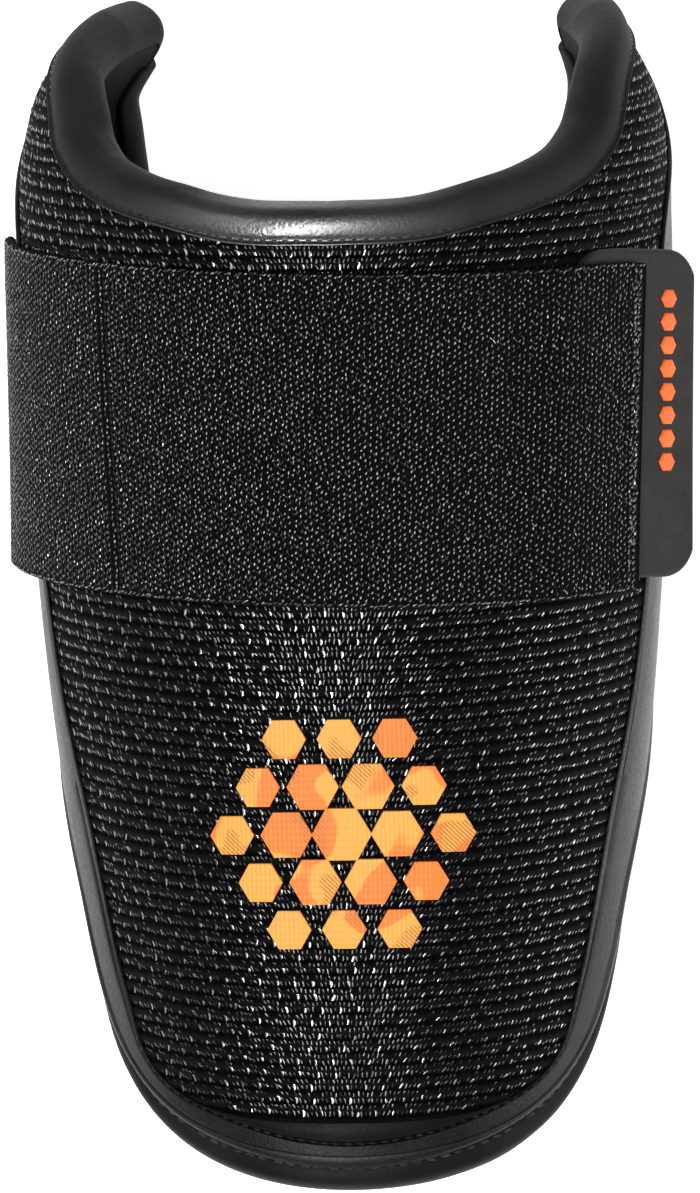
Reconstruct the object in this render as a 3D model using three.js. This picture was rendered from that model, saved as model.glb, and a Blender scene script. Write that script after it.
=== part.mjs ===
// Padded elbow guard with a wide elastic strap, lying on its open back.
// Millimetres, +Z up. X is across the arm, +Y towards the ears, the tip points to -Y.
import * as THREE from 'three';

// Layers, measured outward from the outer face of the panels
const PANEL_THICKNESS = 1.6;
const LAYER_GAP = 0.8;
const PAD_INNER = -9.5;
const PAD_OUTER = -(PANEL_THICKNESS + LAYER_GAP);
const GAP = 0.3;

// Cross-sections of the outer face: front half and back half are parts of two ellipses,
// and the ears lean a little to one side
const SECTIONS = [
  { y: -100, halfWidth: 42.6, apex: 50.0, waist: 16.0, back: 40.0, middle: 0.0 },
  { y: -70, halfWidth: 45.9, apex: 58.0, waist: 20.0, back: 42.0, middle: 0.0 },
  { y: -40, halfWidth: 48.6, apex: 65.0, waist: 25.5, back: 47.0, middle: 0.0 },
  { y: -10, halfWidth: 51.6, apex: 71.0, waist: 30.0, back: 64.0, middle: 0.0 },
  { y: 20, halfWidth: 53.8, apex: 75.5, waist: 32.5, back: 60.0, middle: 0.0 },
  { y: 45, halfWidth: 55.0, apex: 78.5, waist: 34.5, back: 52.5, middle: 0.0 },
  { y: 65, halfWidth: 55.2, apex: 80.0, waist: 35.5, back: 49.0, middle: 0.0 },
  { y: 80, halfWidth: 54.2, apex: 79.5, waist: 35.5, back: 49.0, middle: 0.4 },
  { y: 90, halfWidth: 51.0, apex: 77.5, waist: 35.0, back: 52.0, middle: 0.7 },
  { y: 102, halfWidth: 41.5, apex: 73.0, waist: 34.0, back: 54.0, middle: 2.8 },
];

// Edge of the pad: degrees round from the front at each height, rounded off towards the tip
const EDGE = { tip: -93.5, start: -48, power: 2.4, root: 2, top: 70 };
const EDGE_LINE = [
  { y: -94, angle: 70.5 },
  { y: -75, angle: 70.0 },
  { y: -63, angle: 70.4 },
  { y: -50, angle: 74.0 },
  { y: -38, angle: 82.0 },
  { y: -27, angle: 91.0 },
  { y: -14, angle: 100.6 },
  { y: 0, angle: 108.3 },
  { y: 20, angle: 114.6 },
  { y: 45, angle: 121.5 },
  { y: 58, angle: 122.9 },
  { y: 70, angle: 124.9 },
];

// Seam between the front panel and the border
const SEAM = { tip: -87.6, start: -57, power: 4, root: 3, top: 101.3 };
const SEAM_LINE = [
  { y: -88, angle: 47.6 },
  { y: -83, angle: 51.0 },
  { y: -77, angle: 53.6 },
  { y: -68, angle: 55.3 },
  { y: -60, angle: 58.1 },
  { y: -45, angle: 62.5 },
  { y: -34, angle: 65.5 },
  { y: -23, angle: 69.0 },
  { y: -11, angle: 72.0 },
  { y: 3, angle: 74.2 },
  { y: 30, angle: 76.0 },
  { y: 50, angle: 76.8 },
  { y: 60, angle: 78.5 },
  { y: 68, angle: 84.0 },
  { y: 76, angle: 92.0 },
  { y: 86, angle: 98.5 },
  { y: 101.4, angle: 104.0 },
];

// Top line of the wall, from the middle of the notch to the ear
const TOP_LINE = [
  { angle: 0, y: 61.0 },
  { angle: 16, y: 61.7 },
  { angle: 30, y: 65.0 },
  { angle: 39, y: 67.6 },
  { angle: 48.5, y: 71.7 },
  { angle: 53.2, y: 75.2 },
  { angle: 56.3, y: 78.2 },
  { angle: 59.5, y: 83.2 },
  { angle: 63.4, y: 87.5 },
  { angle: 67, y: 90.0 },
  { angle: 72.2, y: 92.7 },
  { angle: 80, y: 95.7 },
  { angle: 90, y: 98.6 },
  { angle: 104, y: 101.3 },
];
const EAR_CORNER = [{ angle: 109, y: 101.9 }, { angle: 118, y: 91 }];

// Roll profiles: out is along the outward normal, up is across the edge
const TOP_PROFILE = [
  { out: 0.3, up: -2.2 },
  { out: 1.1, up: -2.2 },
  { out: 1.2, up: 0.1 },
  { out: 1.5, up: 1.4 },
  { out: 1.1, up: 2.9 },
  { out: -0.2, up: 4.1 },
  { out: -2.2, up: 4.8 },
  { out: -4.2, up: 4.8 },
  { out: -6.2, up: 4.3 },
  { out: -8.4, up: 2.9 },
  { out: -9.5, up: 0.9 },
  { out: -9.4, up: 0.3 },
  { out: 0.3, up: 0.3 },
];
const RIM_PROFILE = [
  { out: -2.1, up: 0.45 },
  { out: -2.0, up: 1.2 },
  { out: -1.2, up: 2.6 },
  { out: -1.3, up: 4.8 },
  { out: -3.0, up: 6.6 },
  { out: -5.4, up: 7.3 },
  { out: -8.0, up: 6.4 },
  { out: -10.0, up: 4.2 },
  { out: -10.8, up: 1.4 },
  { out: -10.6, up: -1.6 },
  { out: -9.9, up: -2.2 },
  { out: -9.8, up: 0.45 },
];

// Both bindings get flatter where they meet: degrees or y, share left of the height over the foot
const TOP_TAPER = { from: 62, to: 108, left: 0.8, foot: 0.3 };
const RIM_TAPER = { from: 84, to: 101, left: 0.5, foot: 0.45 };

// Ears get thinner towards their tops: y, share left of the depth under the pad's outer face
const EAR_TAPER = { from: 74, to: 93, left: 0.74 };
const TOP_END_SHARE = 0.17;
const END_GAP_SHARE = 0.15;

// Border: how far it reaches over the rim, and its raised lip at the seam
const BORDER_OVERHANG = 0.8;
const OVERHANG_STOP = 9;
const BORDER_STOP = 0.65;
const BORDER_SHARES = [0.3, 0.54, 0.77, 1];
const LIP_WIDTH = 1.5;
const LIP_HEIGHT = 0.45;
const LIP_FOOT = 0.1;
const LIP_MAX_SHARE = 0.2;

// Strap: edges at the front, rise towards the sides, slope from left to right, waist behind the tab
const STRAP_THICKNESS = 1.6;
const STRAP_TOP = 53.9;
const STRAP_BOTTOM = -0.9;
const STRAP_RISE = 7.6;
const STRAP_SLOPE = -1.6;
const STRAP_WAIST = { depth: 2.4, power: 12 };
const STRAP_STAND = 0.8;
const STRAP_FLARE = 2.4;
const STRAP_CLEAR = 0.6;

// Ends of the strap: where the free end leaves the wall, to the right of the middle of the front,
// and how far past there the other end starts
const STRAP_END = { top: 52.2, bottom: 48.3 };
const STRAP_START = 13.5;
const STRAP_TAIL = 4.4;
const TAIL_TILT = 6;
const LIFT_FLAT = 11;
const LIFT_RAMP = 10;

// Pull tab under the free end of the strap, and the hidden fastener under the tab
const TAB_THICKNESS = 1.5;
const TAB_BASE = 10;
const TAB_REACH = 17.5;
const TAB_SHIFT = 2.5;
const TAB_CORNER = 6;
const HOOK_FROM = 14;
const HOOK_TO = 16.8;
const HOOK_THICKNESS = 0.7;
const HOOK_MARGIN = 8;

// Fineness
const PANEL_ROWS = 7;
const ROW_CROWDING = 1.8;
const BORDER_STEPS = 28;
const EDGE_STEPS = 28;
const TOP_STEPS = 24;
const STRAP_STEPS = [18, 30, 10, 24];
const STRAP_LINES = [0, 0.25, 0.5, 0.75, 1];
const TAB_STEPS = 14;
const CORNER_STEPS = 12;
const MESH_APART = 0.35;
const PAD_APART = 1.4;
const FINE_SAMPLES = 400;
const AHEAD_STEP = 0.8;
const MEAN_RADIUS = 50;

const rad = THREE.MathUtils.degToRad;
const deg = THREE.MathUtils.radToDeg;

// Smooth reading of one column of a table at a value of another
function read(rows, from, to, at) {
  const last = rows.length - 1;
  const x = THREE.MathUtils.clamp(at, rows[0][from], rows[last][from]);
  let i = 0;
  while (i < last - 1 && rows[i + 1][from] < x) i += 1;
  const slope = (k) => (rows[k + 1][to] - rows[k][to]) / (rows[k + 1][from] - rows[k][from]);
  const tangent = (k) => {
    if (k === 0) return slope(0);
    if (k === last) return slope(last - 1);
    return (slope(k - 1) + slope(k)) / 2;
  };
  const step = rows[i + 1][from] - rows[i][from];
  const t = (x - rows[i][from]) / step;
  const start = (2 * t ** 3 - 3 * t ** 2 + 1) * rows[i][to] + (t ** 3 - 2 * t ** 2 + t) * step * tangent(i);
  return start + (3 * t ** 2 - 2 * t ** 3) * rows[i + 1][to] + (t ** 3 - t ** 2) * step * tangent(i + 1);
}

// Point of the outer face at an angle and height
function outerFace(angle, y) {
  const halfWidth = read(SECTIONS, 'y', 'halfWidth', y);
  const waist = read(SECTIONS, 'y', 'waist', y);
  const front = read(SECTIONS, 'y', 'apex', y) - waist;
  const depth = Math.cos(angle) > 0 ? front : read(SECTIONS, 'y', 'back', y);
  const x = read(SECTIONS, 'y', 'middle', y) + halfWidth * Math.sin(angle);
  return new THREE.Vector3(x, y, waist + depth * Math.cos(angle));
}

function outwardNormal(angle, y) {
  const step = 0.01;
  const across = outerFace(angle + step, y).sub(outerFace(angle - step, y));
  const along = outerFace(angle, y + step).sub(outerFace(angle, y - step));
  return across.cross(along).normalize();
}

// Point at a distance outward from the outer face
function shell(angle, y, offset) {
  return outerFace(angle, y).addScaledVector(outwardNormal(angle, y), offset);
}

// Outline angle at a height: a line from a table, rounded off towards the tip
function outlineAngle(shape, line, y) {
  const share = THREE.MathUtils.clamp((shape.start - y) / (shape.start - shape.tip), 0, 1);
  return rad(read(line, 'y', 'angle', y)) * (1 - share ** shape.power) ** (1 / shape.root);
}

// Evenly spaced points along a path of angles and heights
function resample(path, count) {
  const lengths = [0];
  for (let i = 1; i < path.length; i += 1) {
    const across = (path[i].angle - path[i - 1].angle) * MEAN_RADIUS;
    lengths.push(lengths[i - 1] + Math.hypot(across, path[i].y - path[i - 1].y));
  }
  const total = lengths[lengths.length - 1];
  const out = [];
  let k = 0;
  for (let i = 0; i <= count; i += 1) {
    const want = (total * i) / count;
    while (k < path.length - 2 && lengths[k + 1] < want) k += 1;
    const share = (want - lengths[k]) / (lengths[k + 1] - lengths[k]);
    out.push({
      angle: THREE.MathUtils.lerp(path[k].angle, path[k + 1].angle, share),
      y: THREE.MathUtils.lerp(path[k].y, path[k + 1].y, share),
    });
  }
  return out;
}

// Right half of an outline, from the tip up to its top
function outlineHalf(shape, line, count) {
  const path = [];
  for (let i = 0; i <= FINE_SAMPLES; i += 1) {
    const y = shape.tip + (shape.top - shape.tip) * (i / FINE_SAMPLES) ** 2;
    path.push({ angle: outlineAngle(shape, line, y), y });
  }
  return resample(path, count);
}

// Right half of the top line, from the notch to the ear, and the round corner of the ear
function topHalf(count) {
  const path = [];
  const end = TOP_LINE[TOP_LINE.length - 1].angle;
  for (let i = 0; i <= FINE_SAMPLES; i += 1) {
    const angle = (end * i) / FINE_SAMPLES;
    path.push({ angle: rad(angle), y: read(TOP_LINE, 'angle', 'y', angle) });
  }
  return resample(path, count);
}

function earCorner(count) {
  const from = TOP_LINE[TOP_LINE.length - 1];
  const to = { angle: deg(outlineAngle(EDGE, EDGE_LINE, EDGE.top)), y: EDGE.top };
  const bend = new THREE.CubicBezierCurve(
    new THREE.Vector2(from.angle, from.y),
    ...EAR_CORNER.map((p) => new THREE.Vector2(p.angle, p.y)),
    new THREE.Vector2(to.angle, to.y),
  );
  const path = bend.getPoints(FINE_SAMPLES).map((p) => ({ angle: rad(p.x), y: p.y }));
  return resample(path, count);
}

function mirrored(half) {
  const left = half.slice(1).reverse().map((p) => ({ angle: -p.angle, y: p.y }));
  return left.concat(half);
}

// Closed solid through rings of points, with its two ends filled
function loft(rings, capFaces) {
  const size = rings[0].length;
  const corners = rings.flat();
  const positions = corners.flatMap((p) => [p.x, p.y, p.z]);
  const index = [];
  for (let r = 0; r < rings.length - 1; r += 1) {
    for (let i = 0; i < size; i += 1) {
      const a = r * size + i;
      const b = r * size + ((i + 1) % size);
      const c = b + size;
      const d = a + size;
      if (corners[a].distanceTo(corners[c]) <= corners[b].distanceTo(corners[d])) {
        index.push(a, b, c, a, c, d);
      } else {
        index.push(a, b, d, b, c, d);
      }
    }
  }
  const end = (rings.length - 1) * size;
  for (const [a, b, c] of capFaces) {
    index.push(a, c, b, end + a, end + b, end + c);
  }
  const geometry = new THREE.BufferGeometry();
  geometry.setAttribute('position', new THREE.Float32BufferAttribute(positions, 3));
  geometry.setIndex(signedVolume(positions, index) < 0 ? index.reverse() : index);
  geometry.computeVertexNormals();
  return geometry;
}

function signedVolume(positions, index) {
  let sum = 0;
  const at = (k) => new THREE.Vector3().fromArray(positions, 3 * k);
  for (let i = 0; i < index.length; i += 3) {
    sum += at(index[i]).dot(at(index[i + 1]).cross(at(index[i + 2])));
  }
  return sum / 6;
}

// Filling of a ring made of an outer row and an inner row run back
function stripFaces(count) {
  const faces = [];
  for (let i = 0; i < count - 1; i += 1) {
    const back = 2 * count - 1 - i;
    faces.push([i, i + 1, back], [i + 1, back - 1, back]);
  }
  return faces;
}

function profileFaces(profile) {
  const contour = profile.map((p) => new THREE.Vector2(p.out, p.up));
  const faces = THREE.ShapeUtils.triangulateShape(contour, []);
  return THREE.ShapeUtils.isClockWise(contour) ? faces.map((f) => f.slice().reverse()) : faces;
}

// Distance from the outer face, less deep in the ears
function thinned(offset, y) {
  if (offset > PAD_OUTER) return offset;
  const share = THREE.MathUtils.smoothstep(y, EAR_TAPER.from, EAR_TAPER.to);
  return PAD_OUTER + (offset - PAD_OUTER) * THREE.MathUtils.lerp(1, EAR_TAPER.left, share);
}

// Panel of columns: each column runs from a bottom to a top height at one angle
function columnPanel(columns, outer, inner) {
  const rings = columns.map(({ angle, bottom, top }) => {
    const heights = [];
    for (let i = 0; i <= PANEL_ROWS; i += 1) {
      const share = 1 - (1 - i / PANEL_ROWS) ** ROW_CROWDING;
      heights.push(THREE.MathUtils.lerp(bottom, top, share));
    }
    const front = heights.map((y) => shell(angle, y, outer));
    const rear = heights.map((y) => shell(angle, y, thinned(inner, y))).reverse();
    return front.concat(rear);
  });
  return loft(rings, stripFaces(PANEL_ROWS + 1));
}

// Straight reading of a path's height at an angle
function heightAt(path, angle) {
  let i = 0;
  while (i < path.length - 2 && path[i + 1].angle < angle) i += 1;
  const share = (angle - path[i].angle) / (path[i + 1].angle - path[i].angle);
  return THREE.MathUtils.lerp(path[i].y, path[i + 1].y, share);
}

// Columns of a panel between a bottom path and a top path, at the angles of both
function columnsBetween(bottomHalf, topPathHalf, apart) {
  const ends = [bottomHalf, topPathHalf].map((path) => path[path.length - 1].angle);
  const reach = Math.min(...ends);
  const angles = bottomHalf.concat(topPathHalf).map((p) => p.angle).sort((p, q) => p - q);
  const kept = topPathHalf.map((p) => p.angle);
  for (const angle of angles) {
    if (kept.every((other) => Math.abs(other - angle) > rad(apart))) kept.push(angle);
  }
  const half = kept
    .filter((angle) => angle <= reach)
    .sort((p, q) => p - q)
    .map((angle) => ({ angle, bottom: heightAt(bottomHalf, angle), top: heightAt(topPathHalf, angle) }))
    .filter((c) => c.top - c.bottom > 1);
  const left = half.slice(1).reverse().map((c) => ({ ...c, angle: -c.angle }));
  return left.concat(half);
}

// Wall outline
const seamHalf = outlineHalf(SEAM, SEAM_LINE, BORDER_STEPS);
const edgeHalf = outlineHalf(EDGE, EDGE_LINE, EDGE_STEPS);
const corner = earCorner(CORNER_STEPS);
const topLine = topHalf(TOP_STEPS);
const wallTop = topLine.concat(corner.slice(1));

// Front panel and pad
const meshPanel = columnPanel(columnsBetween(seamHalf, wallTop, MESH_APART), 0, -PANEL_THICKNESS);
const linerPad = columnPanel(columnsBetween(edgeHalf, wallTop, PAD_APART), PAD_OUTER, PAD_INNER);

// Directions at a place on the wall's edge: outward, and across the edge
function edgeFrame(here, behind, ahead, side) {
  const along = outerFace(ahead.angle, ahead.y).sub(outerFace(behind.angle, behind.y)).normalize();
  const out = outwardNormal(here.angle, here.y);
  const up = along.cross(out).normalize().multiplyScalar(side);
  return { here: outerFace(here.angle, here.y), out, up };
}

function profileRing(frame, profile) {
  return profile.map((p) => {
    const out = frame.here.clone().addScaledVector(frame.out, p.out);
    return out.addScaledVector(frame.up, p.up);
  });
}

// Roll along a path on the wall's edge
function roll(path, profile, side, shaped) {
  const rings = path.map((here, i) => {
    const behind = path[Math.max(i - 1, 0)];
    const ahead = path[Math.min(i + 1, path.length - 1)];
    return profileRing(edgeFrame(here, behind, ahead, side), shaped(here));
  });
  return loft(rings, profileFaces(profile));
}

function flattened(profile, taper, at, y) {
  const share = THREE.MathUtils.smoothstep(at, taper.from, taper.to);
  const scale = THREE.MathUtils.lerp(1, taper.left, share);
  return profile.map(({ out, up }) => {
    const lower = up > taper.foot ? taper.foot + (up - taper.foot) * scale : up;
    return { out: thinned(out, y), up: lower };
  });
}

// Top binding as far as part of the ear corner, rim binding from there round the tip
const cut = Math.round(CORNER_STEPS * TOP_END_SHARE);
const topPath = mirrored(topLine.concat(corner.slice(1, cut + 1)));
const topBinding = roll(topPath, TOP_PROFILE, -1, (here) => {
  return flattened(TOP_PROFILE, TOP_TAPER, Math.abs(deg(here.angle)), here.y);
});

const rimHalf = edgeHalf.concat(corner.slice(cut).reverse().slice(1));
const rimEnd = rimHalf[rimHalf.length - 1];
const rimBefore = rimHalf[rimHalf.length - 2];
rimHalf[rimHalf.length - 1] = {
  angle: THREE.MathUtils.lerp(rimEnd.angle, rimBefore.angle, END_GAP_SHARE),
  y: THREE.MathUtils.lerp(rimEnd.y, rimBefore.y, END_GAP_SHARE),
};
const rimBinding = roll(mirrored(rimHalf), RIM_PROFILE, 1, (here) => {
  return flattened(RIM_PROFILE, RIM_TAPER, here.y, here.y);
});

// Border between the seam and the wall's edge, with a lip along the seam
function borderRing(inner, outer, frame) {
  const from = outerFace(inner.angle, inner.y);
  const width = from.distanceTo(outerFace(outer.angle, outer.y));
  const lip = Math.min(LIP_WIDTH / width, LIP_MAX_SHARE);
  const start = GAP / width;
  const row = [
    { share: start, out: LIP_FOOT },
    { share: start + lip / 2, out: LIP_HEIGHT },
    { share: start + lip, out: 0 },
    ...BORDER_SHARES.map((share) => ({ share, out: 0 })),
  ];
  const overhang = outer.y < corner[cut].y - OVERHANG_STOP ? BORDER_OVERHANG : 0;
  const point = (share, out) => {
    const angle = THREE.MathUtils.lerp(inner.angle, outer.angle, share);
    const y = THREE.MathUtils.lerp(inner.y, outer.y, share);
    return shell(angle, y, out).addScaledVector(frame.up, share === 1 ? overhang : 0);
  };
  const front = row.map((p) => point(p.share, p.out));
  const rear = row.map((p) => point(p.share, -PANEL_THICKNESS)).reverse();
  return front.concat(rear);
}

// The border's two lines meet at the ear, so its last ring stops a little short of there
function stopShort(path) {
  const [before, end] = path.slice(-2);
  const last = {
    angle: THREE.MathUtils.lerp(before.angle, end.angle, BORDER_STOP),
    y: THREE.MathUtils.lerp(before.y, end.y, BORDER_STOP),
  };
  return path.slice(0, -1).concat([last]);
}

const wallEdge = resample(edgeHalf.concat(corner.slice().reverse().slice(1)), BORDER_STEPS);
const borderOuter = mirrored(stopShort(wallEdge));
const borderInner = mirrored(stopShort(seamHalf));
const borderRings = borderOuter.map((outer, i) => {
  const behind = borderOuter[Math.max(i - 1, 0)];
  const ahead = borderOuter[Math.min(i + 1, borderOuter.length - 1)];
  return borderRing(borderInner[i], outer, edgeFrame(outer, behind, ahead, 1));
});
const sidePanel = loft(borderRings, stripFaces(borderRings[0].length / 2));

// Outline of a set of points in X and Z, as a tight band would lie round them
function bandAround(points) {
  const sorted = points.slice().sort((p, q) => p.x - q.x || p.z - q.z);
  const turn = (o, p, q) => (p.x - o.x) * (q.z - o.z) - (p.z - o.z) * (q.x - o.x);
  const chain = (list) => {
    const kept = [];
    for (const p of list) {
      while (kept.length > 1 && turn(kept[kept.length - 2], kept[kept.length - 1], p) <= 0) kept.pop();
      kept.push(p);
    }
    return kept.slice(0, -1);
  };
  return chain(sorted).concat(chain(sorted.reverse()));
}

// Height of a line of the strap: it rises towards the sides, leans to one side and narrows behind the tab
function strapHeight(frontY, angle) {
  const side = Math.sin(angle);
  const off = (2 * frontY - STRAP_TOP - STRAP_BOTTOM) / (STRAP_TOP - STRAP_BOTTOM);
  const waist = STRAP_WAIST.depth * off * Math.max(side, 0) ** STRAP_WAIST.power;
  return frontY + STRAP_RISE * (1 - Math.abs(Math.cos(angle))) + STRAP_SLOPE * side - waist;
}

// Inner line of the strap at one of its edges: a closed band from the middle of the front to the left
function strapLine(frontY, flare) {
  const reach = outlineAngle(EDGE, EDGE_LINE, frontY + STRAP_RISE);
  const points = [];
  for (let i = -FINE_SAMPLES; i <= FINE_SAMPLES; i += 1) {
    const angle = (reach * i) / FINE_SAMPLES;
    const stand = STRAP_STAND + flare * Math.sin(angle) ** 2;
    points.push(shell(angle, strapHeight(frontY, angle), stand));
  }
  const clear = RIM_PROFILE.map((p) => ({ out: p.out + STRAP_CLEAR, up: p.up + STRAP_CLEAR }));
  for (const side of [-1, 1]) {
    const place = (y) => ({ angle: side * outlineAngle(EDGE, EDGE_LINE, y), y });
    const y = strapHeight(frontY, side * reach);
    const ring = profileRing(edgeFrame(place(y), place(y - 1), place(y + 1), side), clear);
    points.push(...ring.map((p) => p.setY(y).setZ(Math.max(p.z, STRAP_THICKNESS))));
    const lowest = ring.reduce((low, p) => (p.z < low.z ? p : low));
    points.push(new THREE.Vector3(lowest.x, y, STRAP_THICKNESS));
  }
  const band = bandAround(points).reverse();
  const offFront = (p) => Math.abs(p.x) - p.z;
  const first = band.reduce((best, p, i) => (offFront(p) < offFront(band[best]) ? i : best), 0);
  const turned = band.slice(first).concat(band.slice(0, first));
  const line = turned[1].x < turned[0].x ? turned : [turned[0]].concat(turned.slice(1).reverse());
  return line.concat([line[0]]);
}

// Place on a closed line at a length from its start, and its outward direction
function follow(line) {
  const lengths = [0];
  for (let i = 1; i < line.length; i += 1) {
    lengths.push(lengths[i - 1] + Math.hypot(line[i].x - line[i - 1].x, line[i].z - line[i - 1].z));
  }
  const total = lengths[lengths.length - 1];
  const point = (length) => {
    const want = THREE.MathUtils.euclideanModulo(length, total);
    let k = 0;
    while (k < line.length - 2 && lengths[k + 1] < want) k += 1;
    return line[k].clone().lerp(line[k + 1], (want - lengths[k]) / (lengths[k + 1] - lengths[k]));
  };
  const ahead = (length) => {
    return point(length + AHEAD_STEP).sub(point(length - AHEAD_STEP)).setY(0).normalize();
  };
  return { total, lengths, point, ahead };
}

const outOf = (ahead) => new THREE.Vector3(ahead.z, 0, -ahead.x);

// Place on the strap at a length to the left of the middle; past its end it runs straight
function alongStrap(track, length) {
  if (length >= -track.end) return { at: track.point(length), out: outOf(track.ahead(length)) };
  const turn = new THREE.Matrix4().makeRotationY(rad(-TAIL_TILT));
  const ahead = track.ahead(-track.end).applyMatrix4(turn);
  const at = track.point(-track.end).addScaledVector(ahead, length + track.end);
  return { at, out: outOf(ahead) };
}

// Lines of the strap from its top edge to its bottom edge
const strapTracks = STRAP_LINES.map((share) => {
  const frontY = THREE.MathUtils.lerp(STRAP_TOP, STRAP_BOTTOM, share);
  const line = strapLine(frontY, STRAP_FLARE * share ** 2);
  const track = follow(line);
  const floor = line.map((p, i) => i).filter((i) => line[i].z <= STRAP_THICKNESS + 0.001);
  const turns = [track.lengths[floor[0]], track.lengths[floor[floor.length - 1]]];
  const end = THREE.MathUtils.lerp(STRAP_END.top, STRAP_END.bottom, share);
  return { ...track, end, anchors: [-end - STRAP_TAIL, 0, ...turns, track.total - end - STRAP_START] };
});

// Ring of a flat band over the tracks, at an inner and an outer distance
function bandRing(places, inner, outer) {
  const front = places.map((p) => p.at.clone().addScaledVector(p.out, outer));
  const rear = places.map((p) => p.at.clone().addScaledVector(p.out, inner)).reverse();
  return front.concat(rear);
}

function strapLift(length) {
  const past = length + strapTracks[0].end - LIFT_FLAT;
  return TAB_THICKNESS * (1 - THREE.MathUtils.smoothstep(past, 0, LIFT_RAMP));
}

const strapRings = [];
STRAP_STEPS.forEach((steps, stretch) => {
  for (let i = stretch === 0 ? 0 : 1; i <= steps; i += 1) {
    const lengths = strapTracks.map((t) => {
      return THREE.MathUtils.lerp(t.anchors[stretch], t.anchors[stretch + 1], i / steps);
    });
    const lift = strapLift(lengths[0]);
    const places = strapTracks.map((track, k) => alongStrap(track, lengths[k]));
    strapRings.push(bandRing(places, lift, lift + STRAP_THICKNESS));
  }
});
const strap = loft(strapRings, stripFaces(strapTracks.length));

// Plate under the strap's end: from and to are lengths past the strap's turning point
const plateTracks = [0, 0.5, 1].map((share) => strapTracks[STRAP_LINES.indexOf(share)]);

function plate(from, to, inner, outer, topMargin, bottomMargin, round) {
  const rings = [];
  const width = STRAP_TOP - STRAP_BOTTOM;
  for (let i = 0; i <= TAB_STEPS; i += 1) {
    const past = from + (to - from) * (1 - (1 - i / TAB_STEPS) ** 2);
    const [top, middle, bottom] = plateTracks.map((track) => alongStrap(track, -track.end - past));
    const left = Math.max(round - Math.min(to - past, past - from), 0);
    const inset = round - Math.sqrt(Math.max(round ** 2 - left ** 2, 0));
    const moved = (end, margin) => ({
      at: end.at.clone().lerp(middle.at, (2 * margin) / width),
      out: end.out.clone().lerp(middle.out, (2 * margin) / width),
    });
    const places = [moved(top, topMargin + inset), middle, moved(bottom, bottomMargin + inset)];
    rings.push(bandRing(places, inner, outer));
  }
  return loft(rings, stripFaces(plateTracks.length));
}

const tabOuter = TAB_THICKNESS - GAP;
const pullTab = plate(-TAB_BASE, TAB_REACH, -GAP, tabOuter, -TAB_SHIFT, TAB_SHIFT, TAB_CORNER);
const hookOuter = -2 * GAP;
const hookInner = hookOuter - HOOK_THICKNESS;
const hookPatch = plate(HOOK_FROM, HOOK_TO, hookInner, hookOuter, HOOK_MARGIN, HOOK_MARGIN, 0);

const group = new THREE.Group();

function add(name, geometry, color, roughness) {
  const material = new THREE.MeshStandardMaterial({ color, roughness, metalness: 0 });
  const mesh = new THREE.Mesh(geometry, material);
  mesh.name = name;
  group.add(mesh);
}

add('mesh_panel', meshPanel, 0x151517, 0.9);
add('side_panel', sidePanel, 0x2e2e31, 0.5);
add('liner_pad', linerPad, 0x2c2c2f, 0.95);
add('top_binding', topBinding, 0x29292c, 0.5);
add('rim_binding', rimBinding, 0x232326, 0.5);
add('strap', strap, 0x121214, 0.9);
add('pull_tab', pullTab, 0x2a2624, 0.8);
add('hook_patch', hookPatch, 0x161616, 0.95);

// Origin at the middle of the underside of the whole
const box = new THREE.Box3().setFromObject(group);
const middle = box.getCenter(new THREE.Vector3());
for (const mesh of group.children) {
  mesh.geometry.translate(-middle.x, -middle.y, -box.min.z);
}

export default group;
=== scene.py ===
"""Looks of a padded elbow guard: knit front, leather border and bindings, elastic strap, rubber tab.

Sizes are in millimetres and are turned into metres where a mesh is made.
"""
import math

import bpy
import numpy as np
from mathutils import Matrix, Vector


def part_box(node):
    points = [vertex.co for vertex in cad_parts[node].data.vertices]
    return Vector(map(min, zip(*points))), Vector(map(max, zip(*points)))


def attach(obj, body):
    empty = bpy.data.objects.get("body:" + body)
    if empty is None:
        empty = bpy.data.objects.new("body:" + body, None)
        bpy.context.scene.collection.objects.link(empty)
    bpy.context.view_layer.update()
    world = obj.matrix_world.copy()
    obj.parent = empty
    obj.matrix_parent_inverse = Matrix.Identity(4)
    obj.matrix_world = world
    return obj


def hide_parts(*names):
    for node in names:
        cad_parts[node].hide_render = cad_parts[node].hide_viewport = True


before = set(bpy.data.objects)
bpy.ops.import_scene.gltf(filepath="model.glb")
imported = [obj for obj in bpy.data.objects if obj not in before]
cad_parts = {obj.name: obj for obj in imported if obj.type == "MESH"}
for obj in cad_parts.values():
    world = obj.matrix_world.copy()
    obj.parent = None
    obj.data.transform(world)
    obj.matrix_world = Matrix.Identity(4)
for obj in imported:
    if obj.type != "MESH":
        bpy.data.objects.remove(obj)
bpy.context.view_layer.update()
MM = 0.001
RANDOM = np.random.default_rng(11)

# Layers, measured outward from the outer face of the panels
PANEL = 1.6
PAD_OUTER = -2.4
PAD_INNER = -9.5
GAP = 0.3

# Cross-sections of the outer face: y, half width, apex, waist, back depth, middle
SECTIONS = (
    (-100, 42.6, 50.0, 16.0, 40.0, 0.0),
    (-70, 45.9, 58.0, 20.0, 42.0, 0.0),
    (-40, 48.6, 65.0, 25.5, 47.0, 0.0),
    (-10, 51.6, 71.0, 30.0, 64.0, 0.0),
    (20, 53.8, 75.5, 32.5, 60.0, 0.0),
    (45, 55.0, 78.5, 34.5, 52.5, 0.0),
    (65, 55.2, 80.0, 35.5, 49.0, 0.0),
    (80, 54.2, 79.5, 35.5, 49.0, 0.4),
    (90, 51.0, 77.5, 35.0, 52.0, 0.7),
    (102, 41.5, 73.0, 34.0, 54.0, 2.8),
)

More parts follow.
